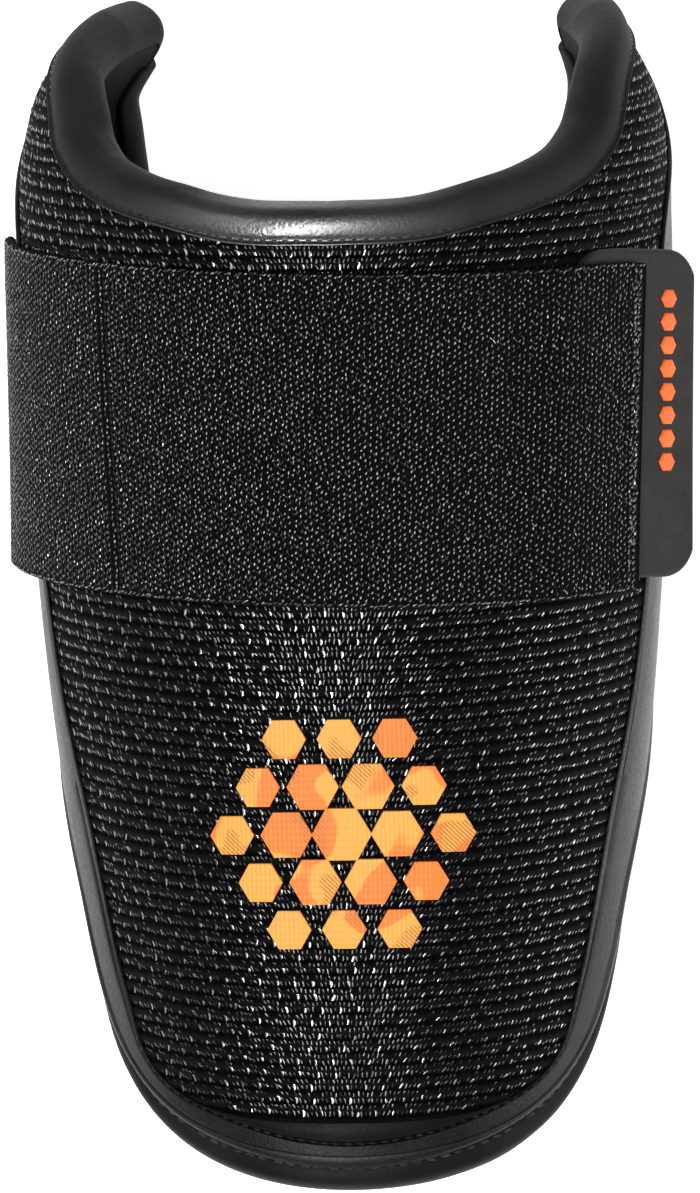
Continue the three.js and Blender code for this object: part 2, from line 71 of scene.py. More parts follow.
# Edge of the pad and seam of the front panel: y, degrees round from the front
EDGE = {"tip": -93.5, "start": -48, "power": 2.4, "root": 2, "top": 70}
EDGE_LINE = (
    (-94, 70.5), (-75, 70.0), (-63, 70.4), (-50, 74.0), (-38, 82.0), (-27, 91.0),
    (-14, 100.6), (0, 108.3), (20, 114.6), (45, 121.5), (58, 122.9), (70, 124.9),
)
SEAM = {"tip": -87.6, "start": -57, "power": 4, "root": 3, "top": 101.3}
SEAM_LINE = (
    (-88, 47.6), (-83, 51.0), (-77, 53.6), (-68, 55.3), (-60, 58.1), (-45, 62.5),
    (-34, 65.5), (-23, 69.0), (-11, 72.0), (3, 74.2), (30, 76.0), (50, 76.8),
    (60, 78.5), (68, 84.0), (76, 92.0), (86, 98.5), (101.4, 104.0),
)

# Top line of the wall from the notch to the ear, and the bend of the ear's corner: degrees, y
TOP_LINE = (
    (0, 61.0), (16, 61.7), (30, 65.0), (39, 67.6), (48.5, 71.7), (53.2, 75.2), (56.3, 78.2),
    (59.5, 83.2), (63.4, 87.5), (67, 90.0), (72.2, 92.7), (80, 95.7), (90, 98.6), (104, 101.3),
)
EAR_BEND = ((109, 101.9), (118, 91))
TOP_SHARE = 1 / 6

# Roll profiles: out along the normal, up across the edge
TOP_PROFILE = (
    (0.35, -2.1), (0.45, -2.45), (0.8, -2.6), (1.08, -2.52), (1.1, -2.28), (0.92, -2.05),
    (0.78, -1.8), (0.88, -1.45), (1.18, -0.85), (1.42, 0.0), (1.55, 1.1), (1.4, 2.3), (0.75, 3.4),
    (-0.3, 4.15), (-2.2, 4.8), (-4.2, 4.8), (-6.2, 4.35), (-8.4, 2.95), (-9.5, 0.95), (-9.3, 0.35),
    (-5.0, 0.32), (-1.0, 0.32), (0.3, 0.3), (0.34, -0.9),
)
RIM_PROFILE = (
    (-2.1, 0.45), (-2.0, 1.2), (-1.2, 2.6), (-1.3, 4.8), (-3.0, 6.6), (-5.4, 7.3), (-8.0, 6.4),
    (-10.0, 4.2), (-10.8, 1.4), (-10.6, -1.6), (-9.95, -2.2), (-9.8, -1.0), (-9.75, 0.42), (-7.0, 0.45),
    (-4.5, 0.45), (-3.0, 0.45),
)

# Both rolls get flatter where they meet: degrees or y, share left of the height over the foot
TOP_TAPER = {"from": 62, "to": 108, "left": 0.8, "foot": 0.3}
RIM_TAPER = {"from": 84, "to": 101, "left": 0.5, "foot": 0.45}

# Ears get thinner towards their tops: y, share left of the depth under the pad's outer face
EAR_TAPER = {"from": 74, "to": 93, "left": 0.74}

# Border across its width: lip in shares of its reach, groove and folded edge in millimetres, and
# the height of each over the outer face; past the wall, heights and shares of the overhang
LIP = ((-1, 0.2), (-1.02, 0.5), (-0.88, 0.72), (-0.5, 0.8), (-0.22, 0.62))
LIP_REACH = {"side": 1.0, "tip": 0.35, "groove": 3.3, "spread": 38}
GROOVE_MIDDLE = 0.22
GROOVE = ((-0.12, 0.12), (0.1, 0.0), (0.38, 0.02), (0.72, 0.4))
BORDER_SHARES = (0.16, 0.25, 0.36, 0.48, 0.6, 0.7, 0.8)
FOLD = ((1.5, 0.3), (1.05, 0.3), (0.75, 0.55), (0.35, 0.68))
BORDER_DOME = 0.55
BORDER_OVERHANG = {"side": 0.8, "tip": 1.7}
BORDER_EDGE = ((0.1, 0.95), (-0.3, 1.0), (-1.2, 0.95), (-PANEL, 0.6))
BORDER_UNDER = (0.92, 0.75, 0.5, 0.25, 0.02)
BORDER_FULL_WIDTH = 9.0
BORDER_END_SHARE = 0.9875
OVERHANG_STOP = 9

# Strap: edges at the front, rise towards the sides, slope from left to right, waist behind the tab, ends
STRAP_THICKNESS = 1.6
STRAP_TOP = 53.9
STRAP_BOTTOM = -0.9
STRAP_RISE = 7.6
STRAP_SLOPE = -1.6
STRAP_WAIST = {"depth": 2.4, "power": 12}
STRAP_STAND = 0.8
STRAP_FLARE = 2.4
STRAP_CLEAR = 0.6
STRAP_END = (52.2, 48.3)
STRAP_START = 13.5
STRAP_TAIL = 4.4
TAIL_TILT = 6
LIFT_FLAT = 11
LIFT_RAMP = 10
STRAP_SHARES = (0, 0.008, 0.05, 0.15, 0.25, 0.35, 0.5, 0.65, 0.75, 0.85, 0.95, 0.992, 1)
STRAP_STEPS = (80, 130, 44, 100)
STRAP_EDGE_DROP = 0.5

# Pull tab and the hidden fastener under it
TAB_THICKNESS = 1.5
TAB_BASE = 10
TAB_REACH = 17.5
TAB_SHIFT = 2.5
TAB_CORNER = 6
TAB_ROUND = 0.6
HOOK_FROM = 14
HOOK_TO = 16.8
HOOK_THICKNESS = 0.7
HOOK_MARGIN = 8
HOOK_CORNER = 0.01
HOOK_ROUND = 0.2

# Studs on the tab: how many, first one and pitch across, length past the turn, size, heights of the rings
STUDS = {"count": 8, "first": 5.8, "pitch": 3.9, "past": 11.4, "size": 1.65}
STUD_HEIGHTS = (0.38, 0.36, 0.22, -0.1)

# Knit of the front: rows rise towards the sides, a big loop every few stitches, small ones under the row
KNIT_ROW = 2.2
KNIT_ROWS = (-44, 48)
KNIT_REACH = 111
KNIT_MARGIN = 1.2
KNIT_STITCH = 0.76
KNIT_RISE = 8.1
KNIT_LOOP = 4
KNIT_DRIFT = 1.37
KNIT_LINES = (0.0, -1.1)
KNIT_SIZES = ((1.0, 0.26, 0.022), (1.2, 0.34, 0.045), (0.85, 0.25, 0.02))
KNIT_MISSING = (0.25, 0.0, 0.8)
KNIT_THIN_AT = 34
KNIT_LEAN = {"most": 38, "left_hook": 0.3, "full_at": 14}
KNIT_BOW = {"hook": 0.26, "plain": 0.03, "hook_to": 5}
KNIT_SPREAD = {"lean": 10, "tilt": 0.12, "height": 0.08, "size": 0.2}

# The knit lies calmer on the right: x where that starts, width over which it grows, shares taken off
KNIT_CALM = {"from": 6, "over": 20, "tilt": 0.65, "size": 0.2}

# Twill of the strap: pitch along and across, drift from column to column, sewn line across the strap
TWILL_ALONG = 0.9
TWILL_ACROSS = 1.05
TWILL_DRIFT = 0.5
STRAP_SEAM = 39.0

# Threads of the strap: lean in degrees, then length, width and height
TWILL_FLOAT = (16, (0.78, 0.29, 0.075))
TWILL_LINE = (-38, (1.0, 0.19, 0.075))
SELVEDGE_THREAD = (62, (0.9, 0.3, 0.1))
END_THREAD = (25, (0.9, 0.4, 0.2))
SEAM_THREAD = (4, (0.7, 0.3, 0.1))
THREAD_SPREAD = {"along": 0.13, "across": 0.09, "lean": 9, "tilt": 0.14, "size": 0.2}

# Printed badge of plain hexagon cells on the front
BADGE_MIDDLE = (0.0, -38.6)
BADGE_PITCH = 9.2
BADGE_CELL = 0.54
BADGE_RINGS = 2
BADGE_HEIGHT = 0.34
BADGE_MARGIN = 0.2

# Rubbed place of the top roll: x, reach to both sides, upper end in y, gloss
TOP_SHINE = (-9, 32, 66, 1.0)

# Camera as in the photograph, and its picture
PICTURE_HEIGHT = 1193
FOCAL_PIXELS = 7715
SENSOR = 36
CAMERA_DISTANCE = 1313
CAMERA_RAISE = 0.85
CAMERA_AIM = 33
CAMERA_YAW = 3.5
CAMERA_ROLL = 0.85

# Stage in metres and watts: floor, sky, and each light's name, place, size and power
FLOOR_SIZE = 8
FLOOR_GLOW = 0.9
SKY = 0.06
LIGHT_AIM = (0, 0, 0.05)
LIGHTS = (
    ("strip", (-0.2, -0.45, 1.45), (0.2, 1.2), 25),
    ("left_box", (-1.15, 0.1, 0.95), (0.5, 1.2), 6),
    ("right_box", (1.25, -0.35, 0.55), (0.5, 1.2), 10),
)

# Steps of fine lines, and the wall's mean radius
FINE = 400
MEAN_RADIUS = 50


# Tables, surface and paths

def read(rows, at, column=1):
    """Smooth reading of one column of a table at values of its first column."""
    table = np.asarray(rows, float)
    x, y = table[:, 0], table[:, column]
    at = np.clip(np.asarray(at, float), x[0], x[-1])
    slope = np.diff(y) / np.diff(x)
    tangent = np.concatenate([slope[:1], (slope[:-1] + slope[1:]) / 2, slope[-1:]])
    i = np.clip(np.searchsorted(x, at) - 1, 0, len(x) - 2)
    step = x[i + 1] - x[i]
    t = (at - x[i]) / step
    start = (2 * t**3 - 3 * t**2 + 1) * y[i] + (t**3 - 2 * t**2 + t) * step * tangent[i]
    return start + (3 * t**2 - 2 * t**3) * y[i + 1] + (t**3 - t**2) * step * tangent[i + 1]


def eased(value):
    """Smooth step from 0 to 1."""
    t = np.clip(value, 0, 1)
    return t**2 * (3 - 2 * t)


def unit(vectors):
    return vectors / np.maximum(np.linalg.norm(vectors, axis=-1, keepdims=True), 1e-12)


def outer_face(angle, y):
    """Points of the outer face at angles and heights."""
    angle, y = np.broadcast_arrays(np.asarray(angle, float), np.asarray(y, float))
    half, apex, waist, back, middle = (read(SECTIONS, y, column) for column in (1, 2, 3, 4, 5))
    depth = np.where(np.cos(angle) > 0, apex - waist, back)
    return np.stack([middle + half * np.sin(angle), y, waist + depth * np.cos(angle)], -1)


def outward(angle, y):
    step = 0.01
    across = outer_face(angle + step, y) - outer_face(angle - step, y)
    along = outer_face(angle, y + step) - outer_face(angle, y - step)
    return unit(np.cross(across, along))


def shell(angle, y, offset):
    """Points at distances outward from the outer face."""
    return outer_face(angle, y) + outward(angle, y) * np.asarray(offset, float)[..., None]


def outline_angle(shape, line, y):
    share = np.clip((shape["start"] - y) / (shape["start"] - shape["tip"]), 0, 1)
    return np.radians(read(line, y)) * (1 - share ** shape["power"]) ** (1 / shape["root"])


def spaced(path, count):
    """Evenly spaced points along a path of angles and heights."""
    step = np.hypot(np.diff(path[:, 0]) * MEAN_RADIUS, np.diff(path[:, 1]))
    length = np.concatenate([[0], np.cumsum(step)])
    want = np.linspace(0, length[-1], count + 1)
    return np.stack([np.interp(want, length, path[:, k]) for k in (0, 1)], -1)


def outline_half(shape, line, count):
    """Right half of an outline, from the tip up to its top."""
    y = shape["tip"] + (shape["top"] - shape["tip"]) * np.linspace(0, 1, 4 * FINE + 1) ** 2
    return spaced(np.stack([outline_angle(shape, line, y), y], -1), count)


def top_half(count):
    angle = np.linspace(0, TOP_LINE[-1][0], FINE + 1)
    return spaced(np.stack([np.radians(angle), read(TOP_LINE, angle)], -1), count)


def ear_corner(count):
    """Round corner of the ear, from the end of the top line to the edge."""
    low = (math.degrees(outline_angle(EDGE, EDGE_LINE, EDGE["top"])), EDGE["top"])
    a, b, c, d = np.array([TOP_LINE[-1], *EAR_BEND, low], float)
    t = np.linspace(0, 1, FINE + 1)[:, None]
    path = (1 - t) ** 3 * a + 3 * (1 - t) ** 2 * t * b + 3 * (1 - t) * t**2 * c + t**3 * d
    path[:, 0] = np.radians(path[:, 0])
    return spaced(path, count)


def mirrored(half):
    return np.concatenate([half[:0:-1] * (-1, 1), half])


def edge_frames(path, side):
    """Places along a path on the wall, their outward and their across directions."""
    at = outer_face(path[:, 0], path[:, 1])
    along = unit(np.gradient(at, axis=0))
    out = outward(path[:, 0], path[:, 1])
    return at, out, unit(np.cross(along, out)) * side, along


def rounded(profile, per):
    """Smooth closed line through the corners of a profile."""
    p = np.asarray(profile, float)
    before, after, far = (np.roll(p, shift, axis=0) for shift in (1, -1, -2))
    t = np.linspace(0, 1, per, endpoint=False)[None, :, None]
    p0, p1, p2, p3 = (q[:, None, :] for q in (before, p, after, far))
    line = p1 + 0.5 * t * (p2 - p0 + t * (2 * p0 - 5 * p1 + 4 * p2 - p3 + t * (3 * (p1 - p2) + p3 - p0)))
    return line.reshape(-1, 2)


CORNER = ear_corner(96)
CUT = round(96 * TOP_SHARE)
SEAM_HALF = outline_half(SEAM, SEAM_LINE, 240)
EDGE_HALF = outline_half(EDGE, EDGE_LINE, 240)
WALL_TOP = np.concatenate([top_half(240), CORNER[1:]])
TOP_PATH = mirrored(np.concatenate([top_half(240), CORNER[1:CUT + 1]]))
RIM_HALF = np.concatenate([EDGE_HALF, CORNER[CUT + 1:-1][::-1]])
RIM_PATH = mirrored(RIM_HALF)


def height_on(half, angle):
    """Height of an outline at angles to either side."""
    return np.interp(np.abs(angle), half[:, 0], half[:, 1])


def origin_shift():
    """From the drawing's place to the frame's: the rim is even about X, and its tip is lowest in Y."""
    low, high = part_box("rim_binding")
    at, out, up, _ = edge_frames(RIM_PATH[len(RIM_HALF) - 3:len(RIM_HALF) + 2], 1)
    profile = np.array(RIM_PROFILE)
    tip = at[2] + profile[:, :1] * out[2] + profile[:, 1:] * up[2]
    return np.array([(low.x + high.x) / 2 / MM, low.y / MM - tip[:, 1].min(), 0])


SHIFT = origin_shift()


# Making of meshes

def piece(name, points, faces, material, uv=None, replaces=(), sharp=None):
    """New object from points in millimetres and arrays of faces, riding on the one body."""
    points = np.asarray(points, float).reshape(-1, 3)
    corners = np.concatenate([f.ravel() for f in faces]).astype(np.int32)
    sizes = np.concatenate([np.full(len(f), f.shape[1]) for f in faces])
    mesh = bpy.data.meshes.new(name)
    mesh.vertices.add(len(points))
    mesh.loops.add(len(corners))
    mesh.polygons.add(len(sizes))
    mesh.vertices.foreach_set("co", ((points + SHIFT) * MM).astype(np.float32).ravel())
    mesh.loops.foreach_set("vertex_index", corners)
    mesh.polygons.foreach_set("loop_start", np.concatenate([[0], np.cumsum(sizes)[:-1]]).astype(np.int32))
    mesh.polygons.foreach_set("use_smooth", np.ones(len(sizes), bool))
    mesh.update(calc_edges=True)
    if uv is not None:
        layer = mesh.uv_layers.new(name="weave")
        layer.data.foreach_set("uv", np.asarray(uv, np.float32).reshape(-1, 2)[corners].ravel())
    if sharp:
        mesh.set_sharp_from_angle(angle=math.radians(sharp))
    mesh.materials.append(material)
    made = bpy.data.objects.new(name, mesh)
    bpy.context.scene.collection.objects.link(made)
    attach(made, "root")
    if replaces:
        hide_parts(*replaces)
    return made


def grid_faces(rows, columns, wrap=False):
    r = np.arange(rows - 1)[:, None]
    c = np.arange(columns if wrap else columns - 1)[None, :]
    a = r * columns + c
    b = r * columns + (c + 1) % columns
    return np.stack([a, b, b + columns, a + columns], -1).reshape(-1, 4)


def end_faces(count):
    """Filling of a ring whose second half runs back along its first half."""
    i = np.arange(count // 2 - 1)
    return np.stack([i, i + 1, count - 2 - i, count - 1 - i], -1)


def signed_volume(points, faces):
    a, b, c, d = (points[faces[:, k]] for k in range(4))
    return (np.cross(b, c) * a).sum() + (np.cross(c, d) * a).sum()


def loft(rings):
    """Points and outward faces of a closed solid through rings with an even number of points."""
    count, size = rings.shape[:2]
    caps = end_faces(size)
    faces = np.concatenate([grid_faces(count, size, True), caps[:, ::-1], caps + (count - 1) * size])
    points = rings.reshape(-1, 3)
    if signed_volume(points, faces) < 0:
        faces = faces[:, ::-1]
    return points, [faces]


def there_and_back(front, rear):
    """Rings that run along a front and back along a rear."""
    return np.concatenate([front, rear[:, ::-1]], 1)


def button(sides, rings, reach, middle):
    """Flat places of a button: its middle, its rings, each a share of the reach, and its middle again."""
    turn = np.linspace(0, 2 * math.pi, sides, endpoint=False)
    way = np.stack([np.cos(turn), np.sin(turn)], -1) * (reach * hexagon_radius(turn))[:, None]
    spots = (np.array(rings)[:, None, None] * way).reshape(-1, 2)
    return np.concatenate([[(0, 0)], spots, [(0, 0)]]) + middle


def button_faces(rings, sides, count):
    """Faces of several like buttons."""
    rim = np.arange(sides)
    after = (rim + 1) % sides
    last = (rings - 1) * sides
    top = np.stack([0 * rim, rim + 1, after + 1], -1)
    under = np.stack([0 * rim + last + sides + 1, after + last + 1, rim + last + 1], -1)
    start = (rings * sides + 2) * np.arange(count)[:, None, None]
    tris = np.concatenate([top, under]) + start
    quads = grid_faces(rings, sides, True)[:, ::-1] + 1 + start
    return [tris.reshape(-1, 3), quads.reshape(-1, 4)]


def lengths(points):
    """Length run along a line of points."""
    step = np.linalg.norm(np.diff(points, axis=0), axis=-1)
    return np.concatenate([[0], np.cumsum(step)])


def strokes(name, at, normal, way, size, material, slot, bow=0.0, sink=0.05):
    """Joined field of small closed threads: a place, a normal, a way it lies and length, width, height."""
    normal = unit(normal)
    way = unit(way - (way * normal).sum(-1, keepdims=True) * normal)
    side = np.cross(way, normal)
    long, wide, high = (np.broadcast_to(np.asarray(s, float), len(at))[:, None] for s in size)
    bend = np.broadcast_to(np.asarray(bow, float), len(at))[:, None]
    foot = at - normal * sink
    shoulder = 0.24 * long
    points = [foot - way * long / 2]
    for step in (-shoulder, shoulder):
        middle = foot + way * step + side * bend
        points += [middle - side * wide / 2, middle + normal * (high + sink), middle + side * wide / 2]
    points.append(foot + way * long / 2)
    points = np.stack(points, 1)
    start = 8 * np.arange(len(at))[:, None, None]
    tips = np.array([(0, 2, 1), (0, 3, 2), (7, 4, 5), (7, 5, 6)]) + start
    sides = np.array([(1, 2, 5, 4), (2, 3, 6, 5), (0, 1, 4, 7), (0, 7, 6, 3)]) + start
    return piece(name, points, [tips.reshape(-1, 3), sides.reshape(-1, 4)], material, sharp=75)


# Materials

def add(tree, kind, inputs=None, **settings):
    """New node with its settings, its plain inputs and its links."""
    made = tree.nodes.new(kind)
    for key, value in settings.items():
        setattr(made, key, value)
    for key, value in (inputs or {}).items():
        if isinstance(value, bpy.types.NodeSocket):
            tree.links.new(value, made.inputs[key])
        else:
            made.inputs[key].default_value = value
    return made


def material(name, roughness, specular=0.5, **sockets):
    made = bpy.data.materials.new(name)
    made.use_nodes = True
    shader = made.node_tree.nodes["Principled BSDF"]
    shader.inputs["Roughness"].default_value = roughness
    shader.inputs["Specular IOR Level"].default_value = specular
    for key, value in sockets.items():
        shader.inputs[key.replace("_", " ")].default_value = value
    return made, made.node_tree, shader


def noise(tree, scale, detail=2.0, rough=0.5):
    return add(tree, "ShaderNodeTexNoise", {
        "Vector": place(tree), "Scale": scale, "Detail": detail, "Roughness": rough,
    }).outputs["Fac"]


def blend(tree, share, low, high):
    """Colour between two colours."""
    mix = add(tree, "ShaderNodeMix", {"Factor": share}, data_type="RGBA")
    mix.inputs["A"].default_value = (*low, 1)
    mix.inputs["B"].default_value = (*high, 1)
    return mix


def ranged(tree, value, low, high, start=0.3, end=0.7):
    return add(tree, "ShaderNodeMapRange", {
        "Value": value, "From Min": start, "From Max": end, "To Min": low, "To Max": high,
    }).outputs["Result"]


def sums(tree, operation, first, second):
    return add(tree, "ShaderNodeMath", {0: first, 1: second}, operation=operation).outputs[0]


def wave(tree, value, pitch):
    """Height of a row of ridges at a pitch in the units of the value."""
    return sums(tree, "SINE", sums(tree, "MULTIPLY", value, 2 * math.pi / pitch), 0.0)


def place(tree):
    return add(tree, "ShaderNodeTexCoord").outputs["Object"]


def aside(tree, middle=0.0):
    """Distance to either side of a line along the part, in metres."""
    x = add(tree, "ShaderNodeSeparateXYZ", {0: place(tree)}).outputs["X"]
    return sums(tree, "ABSOLUTE", sums(tree, "SUBTRACT", x, middle * MM), 0.0)


def weave(tree):
    """The two weave coordinates of a piece, in millimetres."""
    spot = add(tree, "ShaderNodeUVMap", uv_map="weave").outputs["UV"]
    split = add(tree, "ShaderNodeSeparateXYZ", {0: spot})
    return split.outputs["X"], split.outputs["Y"]


def relief(tree, shader, height, strength, distance):
    bump = add(tree, "ShaderNodeBump", {"Height": height, "Strength": strength, "Distance": distance * MM})
    tree.links.new(bump.outputs["Normal"], shader.inputs["Normal"])


def colour(tree, shader, mix):
    tree.links.new(mix.outputs["Result"], shader.inputs["Base Color"])


def mottled(tree, shader, dark, light, scale, detail=2.0, rough=0.5):
    """Colour that goes from dark to light with a noise, and the noise."""
    cloud = noise(tree, scale, detail, rough)
    colour(tree, shader, blend(tree, ranged(tree, cloud, 0.0, 1.0), dark, light))
    return cloud


def leather(name, dark, light, roughness, specular, groove=False, shine=None, index=1.5):
    """Fine-grained synthetic leather with a soft uneven gloss; along a sewn groove its colour is darkened
    nearly to black as painted shade.

    A shine is a place where it is rubbed glossy: x, reach to both sides, upper end in y, gloss.
    """
    made, tree, shader = material(name, roughness, specular, IOR=index)
    where = place(tree)
    cloud = noise(tree, 45.0, 3.0)
    share = ranged(tree, cloud, 0.0, 1.0)
    if groove:
        # Painted shade: the colour darkens towards the middle of the sewn groove.
        across = weave(tree)[1]
        away = sums(tree, "ABSOLUTE", sums(tree, "SUBTRACT", across, GROOVE_MIDDLE), 0.0)
        share = sums(tree, "MULTIPLY", share, ranged(tree, away, 0.0, 1.0, 0.25, 0.6))
        lip = ranged(tree, aside(tree), 0.05, 0.4, 28 * MM, 42 * MM)
        gloss = ranged(tree, across, lip, specular, 0.15, 0.7)
        tree.links.new(gloss, shader.inputs["Specular IOR Level"])
    colour(tree, shader, blend(tree, share, dark, light))
    if shine:
        middle, reach, end, most = shine
        near = ranged(tree, aside(tree, middle), 1.0, 0.0, 0.0, reach * MM)
        y = add(tree, "ShaderNodeSeparateXYZ", {0: where}).outputs["Y"]
        below = ranged(tree, y, 1.0, 0.0, (end - 6.5) * MM, end * MM)
        rubbed = sums(tree, "MULTIPLY", near, below)
        gloss = sums(tree, "ADD", sums(tree, "MULTIPLY", rubbed, most), specular)
        tree.links.new(gloss, shader.inputs["Specular IOR Level"])
    fine = noise(tree, 1500.0, 3.0, 0.6)
    uneven = ranged(tree, cloud, roughness - 0.04, roughness + 0.05)
    rough = sums(tree, "ADD", ranged(tree, fine, -0.07, 0.09), uneven)
    if shine:
        rough = sums(tree, "SUBTRACT", rough, sums(tree, "MULTIPLY", rubbed, 0.3))
    tree.links.new(rough, shader.inputs["Roughness"])
    cells = add(tree, "ShaderNodeTexVoronoi", {"Vector": where, "Scale": 1900.0}, feature="SMOOTH_F1")
    grain = sums(tree, "ADD", cells.outputs["Distance"], sums(tree, "MULTIPLY", fine, 0.8))
    wrinkle = sums(tree, "MULTIPLY", noise(tree, 160.0, 3.0), 1.2)
    relief(tree, shader, sums(tree, "ADD", grain, wrinkle), 0.32, 0.12)
    return made


def knit_ground():
    """Ground of the air mesh under its loops: rows of ridges and holes between them. Its colour carries
    painted shade, darker in the holes and between the rows, and a painted sheen that lightens it towards the
    sides.
    """
    made, tree, shader = material("air_mesh_ground", 0.75, 0.02)
    u, v = weave(tree)
    rows = wave(tree, v, KNIT_ROW)
    holes = wave(tree, u, 2 * KNIT_STITCH)
    depth = sums(tree, "ADD", rows, sums(tree, "MULTIPLY", holes, 0.2))
    # Painted sheen: the ground's colour grows lighter towards both sides, standing in for light caught on the
    # flanks.
    most = ranged(tree, aside(tree), 0.4, 1.0, 20 * MM, 42 * MM)
    # Painted shade: the colour is darker in the holes and in the furrows between the rows.
    shade = sums(tree, "MULTIPLY", ranged(tree, depth, 0.0, 1.0, -1.0, 1.0), most)
    colour(tree, shader, blend(tree, shade, (0.0006, 0.0006, 0.0006), (0.011, 0.011, 0.011)))
    yarn = noise(tree, 2600.0, 2.0)
    relief(tree, shader, sums(tree, "ADD", depth, yarn), 0.8, 0.25)
    return made


def yarn(name, dark, light, roughness, specular, scale=420.0, index=1.5):
    """Shiny thread, each length of it a little different."""
    made, tree, shader = material(name, roughness, specular, IOR=index)
    cloud = mottled(tree, shader, dark, light, scale)
    tree.links.new(ranged(tree, cloud, roughness - 0.08, roughness + 0.1), shader.inputs["Roughness"])
    relief(tree, shader, noise(tree, 6000.0, 1.0), 0.25, 0.04)
    return made


def elastic_ground():
    """Twill ground of the elastic strap; its colour carries painted shade, darker in the low places of the
    weave.
    """
    made, tree, shader = material("elastic_ground", 0.85, 0.03, Sheen_Weight=0.015, Sheen_Roughness=0.45)
    u, v = weave(tree)
    slope = sums(tree, "ADD", v, sums(tree, "MULTIPLY", u, TWILL_ACROSS * TWILL_DRIFT / TWILL_ALONG))
    twill = wave(tree, slope, TWILL_ACROSS)
    ribs = wave(tree, u, TWILL_ALONG)
    height = sums(tree, "ADD", twill, ribs)
    # Painted shade: the colour follows the weave's height and is darker in its low places.
    shade = ranged(tree, height, 0.0, 1.0, -1.5, 1.5)
    colour(tree, shader, blend(tree, shade, (0.001, 0.001, 0.0009), (0.006, 0.0057, 0.0054)))
    fuzz = noise(tree, 3000.0, 2.0)
    relief(tree, shader, sums(tree, "ADD", height, sums(tree, "MULTIPLY", fuzz, 1.4)), 0.7, 0.22)
    return made


def liner_knit():
    """Matte knit that lies against the arm."""
    made, tree, shader = material("liner_knit", 0.9, 0.1, Sheen_Weight=0.05)
    u, v = weave(tree)
    loops = sums(tree, "MULTIPLY", wave(tree, u, 0.9), wave(tree, v, 0.7))
    mottled(tree, shader, (0.004, 0.004, 0.0042), (0.009, 0.009, 0.0093), 90.0, 3.0)
    fuzz = noise(tree, 1800.0, 3.0)
    relief(tree, shader, sums(tree, "ADD", loops, fuzz), 0.6, 0.25)
    return made


def rubber():
    """Matte moulded rubber with fine dust specks."""
    made, tree, shader = material("tab_rubber", 0.62, 0.25)
    mottled(tree, shader, (0.012, 0.0102, 0.0092), (0.021, 0.0186, 0.017), 180.0, 4.0, 0.65)
    grain = noise(tree, 2200.0, 3.0, 0.7)
    tree.links.new(ranged(tree, grain, 0.52, 0.7), shader.inputs["Roughness"])
    relief(tree, shader, grain, 0.35, 0.08)
    return made


def bright_rubber():
    made, tree, shader = material("tab_studs", 0.5, 0.4)
    mottled(tree, shader, (0.84, 0.115, 0.012), (0.95, 0.16, 0.02), 300.0, 3.0)
    relief(tree, shader, noise(tree, 2500.0, 2.0), 0.25, 0.06)
    return made


def printed_film():
    """Printed film over the knit: amber with orange patches and fine brown hatching."""
    made, tree, shader = material("printed_film", 0.5, 0.4)
    patches = ranged(tree, noise(tree, 95.0, 1.0), 0.0, 1.0, 0.5, 0.53)
    base = blend(tree, patches, (0.78, 0.34, 0.055), (0.86, 0.19, 0.025))
    u, v = weave(tree)
    lines = ranged(tree, wave(tree, sums(tree, "ADD", u, v), 0.75), 0.0, 1.0, 0.1, 0.4)
    fields = ranged(tree, noise(tree, 120.0, 1.0), 0.0, 1.0, 0.57, 0.6)
    hatch = add(tree, "ShaderNodeMix", {"Factor": sums(tree, "MULTIPLY", lines, fields)}, data_type="RGBA")
    tree.links.new(base.outputs["Result"], hatch.inputs["A"])
    hatch.inputs["B"].default_value = (0.42, 0.15, 0.02, 1)
    colour(tree, shader, hatch)
    knit = sums(tree, "ADD", wave(tree, v, KNIT_ROW / 2), wave(tree, u, KNIT_STITCH))
    relief(tree, shader, knit, 0.35, 0.1)
    return made


def floor_paint():
    made, tree, shader = material("floor", 0.9, 0.2)
    cloud = noise(tree, 6.0, 2.0)
    colour(tree, shader, blend(tree, cloud, (0.86, 0.86, 0.86), (0.9, 0.9, 0.9)))
    shader.inputs["Emission Color"].default_value = (1, 1, 1, 1)
    shader.inputs["Emission Strength"].default_value = FLOOR_GLOW
    return made


LEATHER = leather("smooth_leather", (0.002, 0.002, 0.002), (0.016, 0.0157, 0.0166), 0.42, 0.22, True)
TOP_LEATHER = leather(
    "top_leather", (0.012, 0.0115, 0.0113), (0.024, 0.0234, 0.0231), 0.6, 0.035, shine=TOP_SHINE, index=1.7,
)
RIM_LEATHER = leather("rim_leather", (0.008, 0.0077, 0.0076), (0.015, 0.0147, 0.0145), 0.4, 0.03)
GROUND = knit_ground()
KNIT_YARN = yarn("knit_yarn", (0.006, 0.006, 0.006), (0.02, 0.0197, 0.0193), 0.26, 0.75)
HOOK_YARN = yarn("hook_yarn", (0.008, 0.008, 0.008), (0.026, 0.0256, 0.025), 0.28, 1.0, index=2.2)
ELASTIC = elastic_ground()
ELASTIC_YARN = yarn("elastic_yarn", (0.006, 0.0057, 0.0053), (0.058, 0.055, 0.051), 0.36, 0.9, 900.0, 1.9)
SEWING = yarn("sewing_thread", (0.014, 0.014, 0.014), (0.04, 0.04, 0.04), 0.34, 0.8)
# Copy of the sewing thread for the rim stitches: its higher gloss is real, but its lighter colour is a
# painted highlight for their glints.
RIM_SEWING_PAINTED_GLINT = yarn("rim_thread_painted_glint", (0.02, 0.02, 0.02), (0.09, 0.089, 0.088), 0.3, 1.0, 420.0, 1.8)
LINER = liner_knit()
RUBBER = rubber()
STUD = bright_rubber()
FILM = printed_film()


# Front panel

def row_length(angle, y):
    """Length round the front from the middle, at angles along one line of heights."""
    points = outer_face(angle, y)
    run = lengths(points)
    return run - np.interp(0, angle, run)


